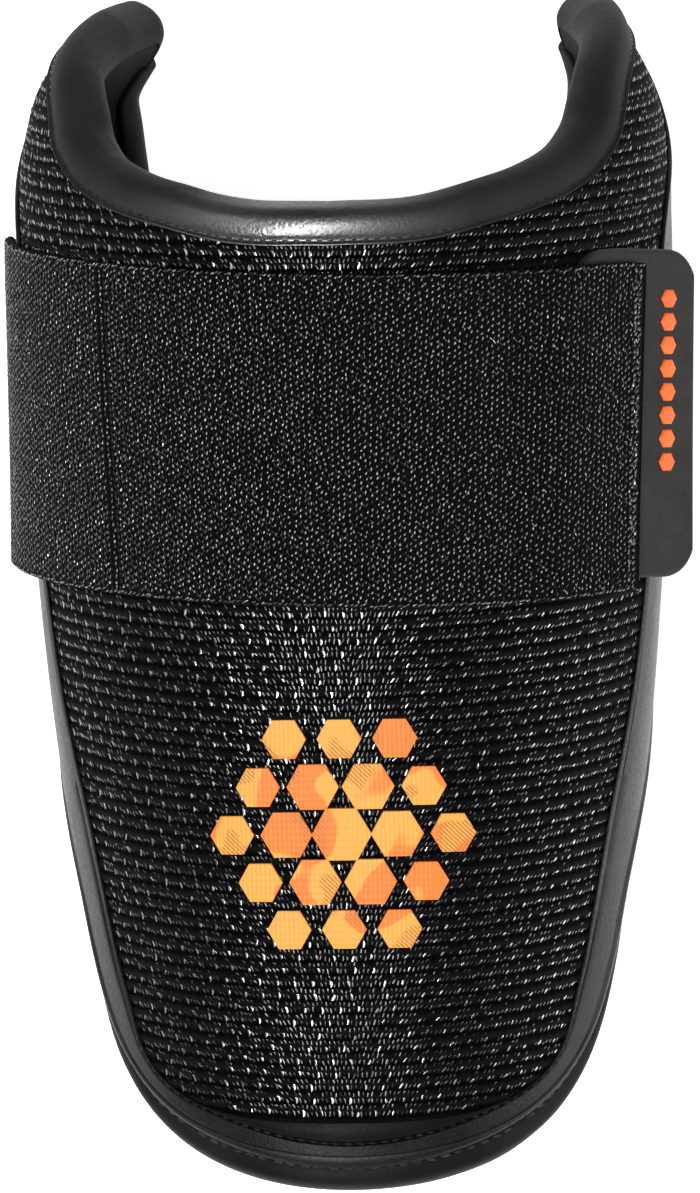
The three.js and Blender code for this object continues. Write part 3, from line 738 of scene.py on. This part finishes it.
def badge_cells():
    """Middles and sizes of the badge's cells: a honeycomb that shrinks outward."""
    cells = []
    for q in range(-BADGE_RINGS, BADGE_RINGS + 1):
        for r in range(-BADGE_RINGS, BADGE_RINGS + 1):
            ring = max(abs(q), abs(r), abs(q + r))
            if ring > BADGE_RINGS:
                continue
            x = BADGE_MIDDLE[0] + BADGE_PITCH * (q + r / 2)
            y = BADGE_MIDDLE[1] + BADGE_PITCH * r * math.sqrt(3) / 2
            cells.append((x, y, BADGE_PITCH * (BADGE_CELL - 0.07 * ring)))
    return cells


def hexagon_radius(turn):
    """Reach of a hexagon of unit size, corners up and down, at each direction."""
    step = math.pi / 3
    return math.cos(step / 2) / np.cos((turn + step / 2 - math.pi / 2) % step - step / 2)


def in_badge(x, y, margin):
    inside = np.zeros(np.shape(x), bool)
    for cx, cy, size in badge_cells():
        far = np.hypot(x - cx, y - cy)
        inside |= far < (size + margin) * hexagon_radius(np.arctan2(y - cy, x - cx))
    return inside


def strap_height(front_y, angle):
    side = np.sin(angle)
    off = (2 * front_y - STRAP_TOP - STRAP_BOTTOM) / (STRAP_TOP - STRAP_BOTTOM)
    waist = STRAP_WAIST["depth"] * off * np.maximum(side, 0) ** STRAP_WAIST["power"]
    return front_y + STRAP_RISE * (1 - np.abs(np.cos(angle))) + STRAP_SLOPE * side - waist


def wall(outline, reach, least, rows, depths):
    """Curved wall from an outline up to the top line: angles, heights, points and faces.

    The depths of its front and its rear are measured outward from the outer face.
    """
    half = np.concatenate([np.radians(np.arange(0, reach, 1.0)), outline[::3, 0]])
    half = np.unique(np.round(half, 3))
    half = half[height_on(WALL_TOP, half) - height_on(outline, half) > least]
    angle = np.concatenate([-half[:0:-1], half])
    share = np.linspace(0, 1, rows)[None, :]
    y = height_on(outline, angle)[:, None] * (1 - share) + height_on(WALL_TOP, angle)[:, None] * share
    angle = np.broadcast_to(angle[:, None], y.shape)
    front, rear = (shell(angle, y, thinned(depth + 0 * y, y)) for depth in depths)
    points, faces = loft(there_and_back(front, rear))
    return angle, y, points, faces


def mesh_cover():
    """Padded knit front, from the seam up to the top line."""
    angle, y, points, faces = wall(SEAM_HALF, KNIT_REACH, 0.6, 121, (0.0, -PANEL))
    middle = y[len(y) // 2]
    u = np.stack([row_length(angle[:, k], np.full(len(angle), middle[k])) for k in range(len(middle))], 1)
    v = y - KNIT_RISE * (1 - np.cos(angle))
    uv = np.stack([u, v], -1)
    made = piece("mesh_cover", points, faces, GROUND, there_and_back(uv, uv), ("mesh_panel",), 50)


def knit_loops():
    """Loops of the knit, row by row, left out under the strap and the badge."""
    angles, heights, kinds = [], [], []
    fine = np.radians(np.linspace(-KNIT_REACH, KNIT_REACH, 20 * KNIT_REACH + 1))
    for row in range(*KNIT_ROWS):
        for line, offset in enumerate(KNIT_LINES):
            y = row * KNIT_ROW + offset + KNIT_RISE * (1 - np.cos(fine))
            run = row_length(fine, y)
            first = int(run[0] / KNIT_STITCH)
            number = np.arange(first, -first + 1)
            angle = np.interp((number + 0.5 * ((row + line) % 2)) * KNIT_STITCH, run, fine)
            angles.append(angle)
            heights.append(np.interp(angle, fine, y))
            hook = (number + round(KNIT_DRIFT * row)) % KNIT_LOOP == 0
            kinds.append(np.where(hook, 1, 0) if line == 0 else 0 * number + 2)
    angle, y, kind = (np.concatenate(a) for a in (angles, heights, kinds))
    under = (y < strap_height(STRAP_TOP, angle) - 1) & (y > strap_height(STRAP_BOTTOM, angle) + 1)
    shown = (y > height_on(SEAM_HALF, angle) + KNIT_MARGIN) & ~under
    shown &= y < height_on(WALL_TOP, angle) - KNIT_MARGIN
    x = outer_face(angle, y)[:, 0]
    shown &= (np.abs(angle) < np.radians(KNIT_REACH - 2)) & ~in_badge(x, y, BADGE_MARGIN)
    beside = np.abs(angle) - np.interp(y, SEAM_HALF[:, 1], SEAM_HALF[:, 0])
    shown &= beside * MEAN_RADIUS < -KNIT_MARGIN
    thin = np.clip(np.abs(x) / KNIT_THIN_AT, 0.1, 1)
    shown &= RANDOM.random(len(x)) > np.array(KNIT_MISSING)[kind] * thin
    angle, y, kind, x = (a[shown] for a in (angle, y, kind, x))
    count = len(angle)
    hook = kind == 1
    normal = outward(angle, y)
    across = unit(outer_face(angle + 0.01, y) - outer_face(angle - 0.01, y))
    along = np.cross(normal, across)
    slant = np.where(hook & (x < 0), KNIT_LEAN["left_hook"], 1) * np.clip(x / KNIT_LEAN["full_at"], -1, 1)
    lean = np.radians(KNIT_LEAN["most"] * slant + RANDOM.normal(0, KNIT_SPREAD["lean"], count))
    way = along * np.cos(lean)[:, None] + across * np.sin(lean)[:, None]
    calm = np.clip((x - KNIT_CALM["from"]) / KNIT_CALM["over"], 0, 1)
    loose = KNIT_SPREAD["tilt"] * (1 - KNIT_CALM["tilt"] * calm)[:, None]
    normal = normal + loose * across * RANDOM.normal(0, 1, (count, 1))
    normal = normal + loose * along * RANDOM.normal(0, 1, (count, 1))
    at = shell(angle, y + RANDOM.normal(0, KNIT_SPREAD["height"], count), np.full(count, 0.03))
    vary = KNIT_SPREAD["size"]
    size = RANDOM.uniform(1 - vary, 1 + vary, (3, count)) * np.array(KNIT_SIZES)[kind].T
    size *= 1 - KNIT_CALM["size"] * calm
    bow = np.where(hook & (x < KNIT_BOW["hook_to"]), KNIT_BOW["hook"], KNIT_BOW["plain"])
    for name, pick, yarn_now in (("mesh_hooks", hook, HOOK_YARN), ("mesh_loops", ~hook, KNIT_YARN)):
        field = (at[pick], normal[pick], way[pick], size[:, pick])
        strokes(name, *field, yarn_now, "air_mesh", bow[pick], 0.01)


def badge():
    """Printed badge: plain hexagon cells that follow the front."""
    sides = 36
    rings = (0.25, 0.5, 0.75, 0.93, 1.0, 1.02)
    height = np.array([1, 1, 1, 1, 0.85, 0.1]) * BADGE_HEIGHT
    lift = np.concatenate([[BADGE_HEIGHT], np.repeat(height, sides), [0.05]])
    points, uv = [], []
    for cx, cy, size in badge_cells():
        spots = button(sides, rings, size, (cx, cy))
        x, y = spots.T
        points.append(shell(np.arcsin(x / read(SECTIONS, y)), y, lift))
        uv.append(spots)
    faces = button_faces(len(rings), sides, len(points))
    piece("badge", np.concatenate(points), faces, FILM, np.concatenate(uv), sharp=50)


# Border, pad and rolls

def border():
    """Leather border with a raised lip over the edge of the knit, a sewn groove and a folded edge."""
    keep = int(240 * BORDER_END_SHARE) + 1
    wall = spaced(np.concatenate([EDGE_HALF, CORNER[:-1][::-1]]), 240)
    inner, outer = mirrored(SEAM_HALF[:keep]), mirrored(wall[:keep])
    start = outer_face(inner[:, 0], inner[:, 1])
    width = np.linalg.norm(outer_face(outer[:, 0], outer[:, 1]) - start, axis=1)
    scale = np.clip(width / BORDER_FULL_WIDTH, 0.15, 1)
    low = np.sqrt(scale)
    near = eased(1 - np.degrees(np.abs(inner[:, 0])) / LIP_REACH["spread"])
    reach = (LIP_REACH["side"] + (LIP_REACH["tip"] - LIP_REACH["side"]) * near) * scale
    sewn = LIP_REACH["groove"] * near
    _, _, up, _ = edge_frames(outer, 1)
    hang = BORDER_OVERHANG["side"] + (BORDER_OVERHANG["tip"] - BORDER_OVERHANG["side"]) * near
    hang = hang * np.clip((CORNER[CUT][1] - OVERHANG_STOP - outer[:, 1]) / 6, 0, 1)
    rows = [((sewn + d * (reach + sewn)) / width, h * low, 0) for d, h in LIP]
    rows += [((sewn + d * scale) / width, h * low, 0) for d, h in GROOVE]
    past = sewn / width
    rows += [(past + s * (1 - past), BORDER_DOME * low * (1 - 0.35 * s), 0) for s in BORDER_SHARES]
    rows += [(1 - d * scale / width, h * low, 0) for d, h in FOLD]
    rows += [(1, 0.5 * low, 0.55)] + [(1, h, over) for h, over in BORDER_EDGE]
    rows += [(s, -PANEL, 0) for s in BORDER_UNDER]
    rows += [(0.012, -0.1, 0), (-0.6 * reach / width, -0.02, 0)]
    points, uv = [], []
    for share, lift, over in rows:
        share = np.broadcast_to(share, width.shape)
        path = inner + (outer - inner) * share[:, None]
        spot = shell(path[:, 0], path[:, 1], np.broadcast_to(lift, width.shape))
        points.append(spot + up * (over * hang)[:, None])
        uv.append(np.stack([lengths(start), share * width - sewn], -1))
    points, faces = loft(np.stack(points, 1))
    uv = np.stack(uv, 1)
    made = piece("side_border", points, faces, LEATHER, uv, ("side_panel",), 45)
    groove = inner + (outer - inner) * ((sewn + GROOVE_MIDDLE) / width)[:, None]
    stitch_row("border_stitches", groove, 0.1, 2.0, 1.4)


def stitch_row(name, path, lift, pitch, long, wide=0.42, high=0.2, up=0.0, side=1, thread=SEWING):
    """Sewn thread along a path on the wall."""
    at, out, across, along = edge_frames(path, side)
    at = at + out * lift + across * up
    run = lengths(at)
    want = np.arange(pitch, run[-1] - pitch, pitch)
    want = want + RANDOM.normal(0, 0.06 * pitch, len(want))
    pick = [np.stack([np.interp(want, run, a[:, k]) for k in range(3)], -1) for a in (at, out, along, across)]
    way = pick[2] + pick[3] * RANDOM.normal(0.1, 0.06, (len(want), 1))
    strokes(name, pick[0], pick[1], way, (long, wide, high), thread, "smooth_leather", 0.0, 0.12)


def wrinkles(run, around, size):
    """Small uneven folds along a roll."""
    run = run[:, None]
    slow = np.sin(run / 9.1 + 1.3) * np.sin(run / 23.7 + 0.4)
    fold = np.sin(run / 1.9 + 2.2 * np.sin(run / 11.3) + 0.5 * np.sin(around / 2.1))
    return size * (0.6 * slow + 0.4 * fold * np.clip(slow, 0, 1))


def kept_height(taper, at):
    """Share of its height that a roll keeps along its path."""
    return 1 - (1 - taper["left"]) * eased((at - taper["from"]) / (taper["to"] - taper["from"]))


def thinned(offset, y):
    """Distance from the outer face, less deep in the ears."""
    deep = np.minimum(offset - PAD_OUTER, 0)
    return offset - deep * (1 - kept_height(EAR_TAPER, y))


def roll(name, path, profile, side, node, size, per, taper, taper_at, leather_now):
    """Stuffed roll along the wall's edge."""
    at, out, up, _ = edge_frames(path, side)
    line = rounded(profile, per)
    if len(line) % 2:
        line = line[:-1]
    middle = np.array([-4.5, 1.5])
    away = unit(line - middle)
    run, around = lengths(at), lengths(line)
    soft = np.clip((line[:, 1] - 0.5) / 1.5, 0, 1)[None, :]
    swell = wrinkles(run, around, size) * soft
    shape = line[None, :, :] + away[None, :, :] * swell[:, :, None]
    over = np.maximum(shape[:, :, 1] - taper["foot"], 0)
    shape[:, :, 1] -= over * (1 - kept_height(taper, taper_at))[:, None]
    shape[:, :, 0] = thinned(shape[:, :, 0], path[:, 1][:, None])
    rings = at[:, None] + out[:, None] * shape[:, :, :1] + up[:, None] * shape[:, :, 1:]
    points, faces = loft(rings)
    made = piece(name, points, faces, leather_now, None, (node,), 60)


def inner_pad():
    """Soft pad that the arm lies against."""
    angle, y, points, faces = wall(EDGE_HALF, 130, 1.5, 101, (PAD_OUTER, PAD_INNER))
    uv = np.stack([angle * MEAN_RADIUS, y], -1)
    made = piece("inner_pad", points, faces, LINER, there_and_back(uv, uv), ("liner_pad",), 50)


# Strap, tab and fastener

def band_around(points):
    """Outline of points in X and Z, as a tight band would lie round them."""
    order = points[np.lexsort((points[:, 2], points[:, 0]))]

    def chain(run):
        kept = []
        for p in run:
            while len(kept) > 1:
                o, q = kept[-2], kept[-1]
                if (q[0] - o[0]) * (p[2] - o[2]) - (q[2] - o[2]) * (p[0] - o[0]) > 0:
                    break
                kept.pop()
            kept.append(p)
        return kept[:-1]

    return np.array(chain(order) + chain(order[::-1]))


def strap_line(front_y, flare):
    """Inner line of the strap at one height: a closed band from the middle of the front to the left."""
    reach = float(outline_angle(EDGE, EDGE_LINE, front_y + STRAP_RISE))
    angle = np.linspace(-reach, reach, 2 * FINE + 1)
    points = [shell(angle, strap_height(front_y, angle), STRAP_STAND + flare * np.sin(angle) ** 2)]
    clear = np.array(RIM_PROFILE) + STRAP_CLEAR
    for side in (-1, 1):
        y = strap_height(front_y, side * reach)
        heights = np.array([y - 1, y, y + 1])
        beside = np.stack([side * outline_angle(EDGE, EDGE_LINE, heights), heights], -1)
        at, out, up, _ = edge_frames(beside, side)
        ring = at[1] + clear[:, :1] * out[1] + clear[:, 1:] * up[1]
        ring[:, 1] = y
        low = ring[ring[:, 2].argmin()].copy()
        low[2] = STRAP_THICKNESS
        ring[:, 2] = np.maximum(ring[:, 2], STRAP_THICKNESS)
        points += [ring, low[None, :]]
    band = band_around(np.concatenate(points))[::-1]
    first = (np.abs(band[:, 0]) - band[:, 2]).argmin()
    band = np.roll(band, -first, axis=0)
    if band[1, 0] > band[0, 0]:
        band = np.concatenate([band[:1], band[:0:-1]])
    return np.concatenate([band, band[:1]])


class Track:
    """One line of the strap, read by its length to the left of the middle of the front."""

    def __init__(self, share):
        front_y = STRAP_TOP + (STRAP_BOTTOM - STRAP_TOP) * share
        self.line = strap_line(front_y, STRAP_FLARE * share**2)
        flat = self.line * (1, 0, 1)
        self.run = lengths(flat)
        self.total = self.run[-1]
        floor = np.flatnonzero(self.line[:, 2] <= STRAP_THICKNESS + 0.001)
        turns = [self.run[floor[0]], self.run[floor[-1]]]
        self.end = STRAP_END[0] + (STRAP_END[1] - STRAP_END[0]) * share
        self.anchors = [-self.end - STRAP_TAIL, 0, *turns, self.total - self.end - STRAP_START]

    def point(self, length):
        want = np.mod(length, self.total)
        return np.stack([np.interp(want, self.run, self.line[:, k]) for k in range(3)], -1)

    def ahead(self, length):
        return unit((self.point(length + 0.8) - self.point(length - 0.8)) * (1, 0, 1))

    def along(self, length):
        """Place and outward direction; past its end the strap runs straight."""
        held = np.maximum(length, -self.end)
        ahead = self.ahead(held)
        turn = math.radians(-TAIL_TILT)
        turned = np.stack([
            ahead[..., 0] * math.cos(turn) + ahead[..., 2] * math.sin(turn),
            0 * ahead[..., 1],
            ahead[..., 2] * math.cos(turn) - ahead[..., 0] * math.sin(turn),
        ], -1)
        past = np.asarray(length < -self.end)[..., None]
        ahead = np.where(past, turned, ahead)
        at = self.point(held) + ahead * np.minimum(np.asarray(length) + self.end, 0)[..., None]
        return at, np.stack([ahead[..., 2], 0 * ahead[..., 1], -ahead[..., 0]], -1)


TRACKS = [Track(share) for share in STRAP_SHARES]


def strap_rows():
    """Places and outward directions over the whole strap, and the length of each ring."""
    at, out, length = [], [], []
    for track in TRACKS:
        runs = []
        for k, steps in enumerate(STRAP_STEPS):
            part = np.linspace(track.anchors[k], track.anchors[k + 1], steps + 1)
            runs.append(part if k == 0 else part[1:])
        run = np.concatenate(runs)
        a, o = track.along(run)
        at.append(a)
        out.append(o)
        length.append(run)
    lift = TAB_THICKNESS * (1 - eased((length[0] + TRACKS[0].end - LIFT_FLAT) / LIFT_RAMP))
    return np.stack(at, 1), np.stack(out, 1), lift, length[len(length) // 2]


def strap():
    """Wide elastic strap, one whole loop, with woven threads standing on it."""
    at, out, lift, run = strap_rows()
    drop = np.zeros(len(STRAP_SHARES))
    drop[[0, -1]] = STRAP_EDGE_DROP
    front = at + out * (lift[:, None, None] + STRAP_THICKNESS - drop[None, :, None])
    rear = at + out * (lift[:, None, None] + drop[None, :, None])
    points, faces = loft(there_and_back(front, rear))
    width = STRAP_TOP - STRAP_BOTTOM
    uv = np.stack(np.broadcast_arrays(run[:, None], np.array(STRAP_SHARES) * width), -1)
    made = piece("strap_band", points, faces, ELASTIC, there_and_back(uv, uv), ("strap",), 50)
    strap_threads(front, out, run)


def on_grid(grid, rows, columns):
    """Reading of a grid of points between its rows and columns."""
    r = np.clip(rows.astype(int), 0, grid.shape[0] - 2)
    c = np.clip(columns.astype(int), 0, grid.shape[1] - 2)
    fr, fc = (rows - r)[:, None], (columns - c)[:, None]
    low = grid[r, c] * (1 - fc) + grid[r, c + 1] * fc
    high = grid[r + 1, c] * (1 - fc) + grid[r + 1, c + 1] * fc
    return low * (1 - fr) + high * fr


def strap_threads(front, out, run):
    """Floats of the twill over the strap, its sewn line, its selvedges and its stitched free end."""
    width = STRAP_TOP - STRAP_BOTTOM
    columns = int((run[-1] - run[0]) / TWILL_ALONG)
    rows = int(width / TWILL_ACROSS) + 1
    i, j = np.meshgrid(np.arange(columns), np.arange(-1, rows + 1), indexing="ij")
    length = run[0] + (i.ravel() + 0.5) * TWILL_ALONG
    across = (j.ravel() + (i.ravel() * TWILL_DRIFT) % 1) * TWILL_ACROSS
    keep = (across > 0.9) & (across < width - 0.9) & (length > run[0] + 0.6) & (length < run[-1] - 0.4)
    keep &= np.abs(length - STRAP_SEAM) > 0.6
    length, across = length[keep], across[keep]
    lean, size = TWILL_FLOAT
    floats = [(length, across, lean * (1 + np.clip(-length / 30, -1, 1) / 2), size)]
    left = (length < 70) & (RANDOM.random(len(length)) < np.clip((length + 30) / 65, 0.12, 1))
    lines = [(length[left] + TWILL_ALONG / 2, across[left], *TWILL_LINE)]
    edge = np.arange(run[0] + 0.5, run[-1] - 0.5, 0.8)
    for spot in (0.5, width - 0.5):
        lines.append((edge, 0 * edge + spot, *SELVEDGE_THREAD))
    sewn = np.arange(1.4, width - 1, 0.95)
    for spot in (run[0] + 1.1, run[0] + 2.0):
        lines.append((0 * sewn + spot, sewn, *END_THREAD))
    lines.append((0 * sewn + STRAP_SEAM, sewn, *SEAM_THREAD))
    lay_threads("strap_floats", floats, front, out, run)
    lay_threads("strap_threads", lines, front, out, run)


def lay_threads(name, fields, front, out, run):
    """Threads on the strap: each field has lengths, heights across, a lean and a size."""
    length, across, lean = (
        np.concatenate([np.broadcast_to(field[k], len(field[0])) for field in fields]) for k in range(3)
    )
    size = np.concatenate([np.tile(np.array(field[3])[:, None], len(field[0])) for field in fields], 1)
    length = length + RANDOM.normal(0, THREAD_SPREAD["along"], len(length))
    across = across + RANDOM.normal(0, THREAD_SPREAD["across"], len(across))
    above = strap_place(front, out, run, length, across)[0][:, 2] > STRAP_CLEAR
    length, across, lean, size = length[above], across[above], lean[above], size[:, above]
    count = len(length)
    at, normal, along, over = strap_place(front, out, run, length, across)
    lean = np.radians(lean + RANDOM.normal(0, THREAD_SPREAD["lean"], count))
    way = over * np.cos(lean)[:, None] + along * np.sin(lean)[:, None]
    normal = normal + along * RANDOM.normal(0, THREAD_SPREAD["tilt"], (count, 1))
    normal = normal + over * RANDOM.normal(0, THREAD_SPREAD["tilt"], (count, 1))
    vary = THREAD_SPREAD["size"]
    size = RANDOM.uniform(1 - vary, 1 + vary, (3, count)) * size
    strokes(name, at, normal, way, size, ELASTIC_YARN, "elastic")


def strap_place(front, out, run, length, across):
    """Places on the strap, with their outward, lengthwise and crosswise directions."""
    r = np.interp(length, run, np.arange(len(run)))
    c = np.interp(across / (STRAP_TOP - STRAP_BOTTOM), STRAP_SHARES, np.arange(len(STRAP_SHARES)))
    at = on_grid(front, r, c)
    normal = unit(on_grid(out, r, c))
    ahead = on_grid(front, np.minimum(r + 0.5, len(run) - 1.001), c)
    along = unit(ahead - on_grid(front, np.maximum(r - 0.5, 0), c))
    over = unit(np.cross(normal, along))
    return at, normal, along, over


def plate(name, span, depths, margins, corner, edge, material_now, slot, node):
    """Rounded plate along the strap's line past its turning point.

    It gives back its front, the outward directions there and its weave coordinates.
    """
    start, end = span
    inner, outer = depths
    t = np.linspace(0, 1, 61)
    past = start + (end - start) * (1 - (1 - t) ** 2.2)
    ends = [track.along(-track.end - past) for track in (TRACKS[0], TRACKS[len(TRACKS) // 2], TRACKS[-1])]
    left = np.maximum(corner - np.minimum(end - past, past - start), 0)
    inset = corner - np.sqrt(np.maximum(corner**2 - left**2, 0))
    width = STRAP_TOP - STRAP_BOTTOM
    low = 2 * (margins[0] + inset) / width
    high = 2 - 2 * (margins[1] + inset) / width
    c = 0.5 - 0.5 * np.cos(np.pi * np.linspace(0, 1, 33))
    spot = low[:, None] + (high - low)[:, None] * c[None, :]
    weights = [(spot - 1) * (spot - 2) / 2, spot * (2 - spot), spot * (spot - 1) / 2]
    at = sum(w[..., None] * e[0][:, None, :] for w, e in zip(weights, ends))
    out = unit(sum(w[..., None] * e[1][:, None, :] for w, e in zip(weights, ends)))
    side = np.minimum(spot - low[:, None], high[:, None] - spot) * width / 2
    near = np.minimum(np.minimum(side, np.minimum(end - past, past - start)[:, None]), edge)
    drop = edge - np.sqrt(np.maximum(edge**2 - (edge - near) ** 2, 0))
    half = (outer - inner) / 2
    drop = drop * half / edge
    front = at + out * (outer - drop)[..., None]
    rear = at + out * (inner + drop)[..., None]
    uv = np.stack([np.broadcast_to(past[:, None], spot.shape), spot * width / 2], -1)
    points, faces = loft(there_and_back(front, rear))
    piece(name, points, faces, material_now, there_and_back(uv, uv), (node,), 60)
    return front, out, uv


def tab():
    """Rubber pull tab with a row of plain raised studs, and the hook tape under it."""
    span, depths = (-TAB_BASE, TAB_REACH), (-GAP, TAB_THICKNESS - GAP)
    margins, looks = (-TAB_SHIFT, TAB_SHIFT), (RUBBER, "tab_rubber", "pull_tab")
    grip = plate("grip_tab", span, depths, margins, TAB_CORNER, TAB_ROUND, *looks)
    span, depths = (HOOK_FROM, HOOK_TO), (-2 * GAP - HOOK_THICKNESS, -2 * GAP)
    margins, looks = (HOOK_MARGIN, HOOK_MARGIN), (ELASTIC, "hook_tape", "hook_patch")
    plate("hook_tape", span, depths, margins, HOOK_CORNER, HOOK_ROUND, *looks)
    studs(*grip)


def studs(front, out, uv):
    """Column of small raised hexagons on the tab."""
    sides = 24
    rings = (0.5, 0.85, 1.0, 1.06)
    lift = np.concatenate([STUD_HEIGHTS[:1], np.repeat(STUD_HEIGHTS, sides), STUD_HEIGHTS[-1:]])
    points = []
    for number in range(STUDS["count"]):
        middle = (STUDS["past"], STUDS["first"] + STUDS["pitch"] * number)
        past, across = button(sides, rings, STUDS["size"], middle).T
        r = np.interp(past, uv[:, 0, 0], np.arange(len(uv)))
        row = uv[np.clip(np.round(r).astype(int), 0, len(uv) - 1)][:, :, 1]
        c = np.array([np.interp(v, line, np.arange(len(line))) for v, line in zip(across, row)])
        points.append(on_grid(front, r, c) + unit(on_grid(out, r, c)) * lift[:, None])
    faces = [part[:, ::-1] for part in button_faces(len(rings), sides, len(points))]
    piece("tab_studs", np.concatenate(points), faces, STUD, sharp=50)


# Stage

def stage():
    """Pale floor, soft studio light and the photograph's camera."""
    bpy.ops.mesh.primitive_plane_add(size=FLOOR_SIZE)
    floor = bpy.context.object
    floor.name = "floor"
    floor.data.materials.append(floor_paint())
    world = bpy.data.worlds.new("studio")
    world.use_nodes = True
    sky = world.node_tree.nodes["Background"]
    sky.inputs["Color"].default_value = (1, 1, 1, 1)
    sky.inputs["Strength"].default_value = SKY
    bpy.context.scene.world = world
    bpy.context.scene.view_settings.view_transform = "Standard"
    for name, spot, size, power in LIGHTS:
        data = bpy.data.lights.new(name, "AREA")
        data.shape = "RECTANGLE"
        data.size, data.size_y = size
        data.energy = power
        light = bpy.data.objects.new(name, data)
        light.location = spot
        light.rotation_euler = (Vector(LIGHT_AIM) - Vector(spot)).to_track_quat("-Z", "Y").to_euler()
        bpy.context.scene.collection.objects.link(light)
    data = bpy.data.cameras.new("camera")
    data.sensor_fit = "AUTO"
    data.sensor_width = SENSOR
    data.lens = SENSOR * FOCAL_PIXELS / PICTURE_HEIGHT
    data.clip_start, data.clip_end = 0.05, 20
    camera = bpy.data.objects.new("camera", data)
    bpy.context.scene.collection.objects.link(camera)
    yaw = Matrix.Rotation(math.radians(CAMERA_YAW), 3, "Y")
    turn = yaw @ Matrix.Rotation(math.radians(-CAMERA_ROLL), 3, "Z")
    aim = Vector((SHIFT[0], SHIFT[1] + CAMERA_RAISE, CAMERA_AIM)) * MM
    spot = aim + turn @ Vector((0, 0, CAMERA_DISTANCE * MM))
    camera.matrix_world = Matrix.Translation(spot) @ turn.to_4x4()
    bpy.context.scene.camera = camera


stage()
mesh_cover()
knit_loops()
badge()
border()
top_angle = np.degrees(np.abs(TOP_PATH[:, 0]))
roll("top_roll", TOP_PATH, TOP_PROFILE, -1, "top_binding", 0.14, 4, TOP_TAPER, top_angle, TOP_LEATHER)
stitch_row("top_stitches", TOP_PATH[6:-6], 0.86, 1.9, 1.25, 0.36, 0.18, up=-1.66, side=-1)
roll("rim_roll", RIM_PATH, RIM_PROFILE, 1, "rim_binding", 0.14, 6, RIM_TAPER, RIM_PATH[:, 1], RIM_LEATHER)
stitch_row("rim_stitches", RIM_PATH[40:-40], -1.25, 2.4, 1.8, 0.5, 0.3, up=2.15, thread=RIM_SEWING_PAINTED_GLINT)
inner_pad()
strap()
tab()
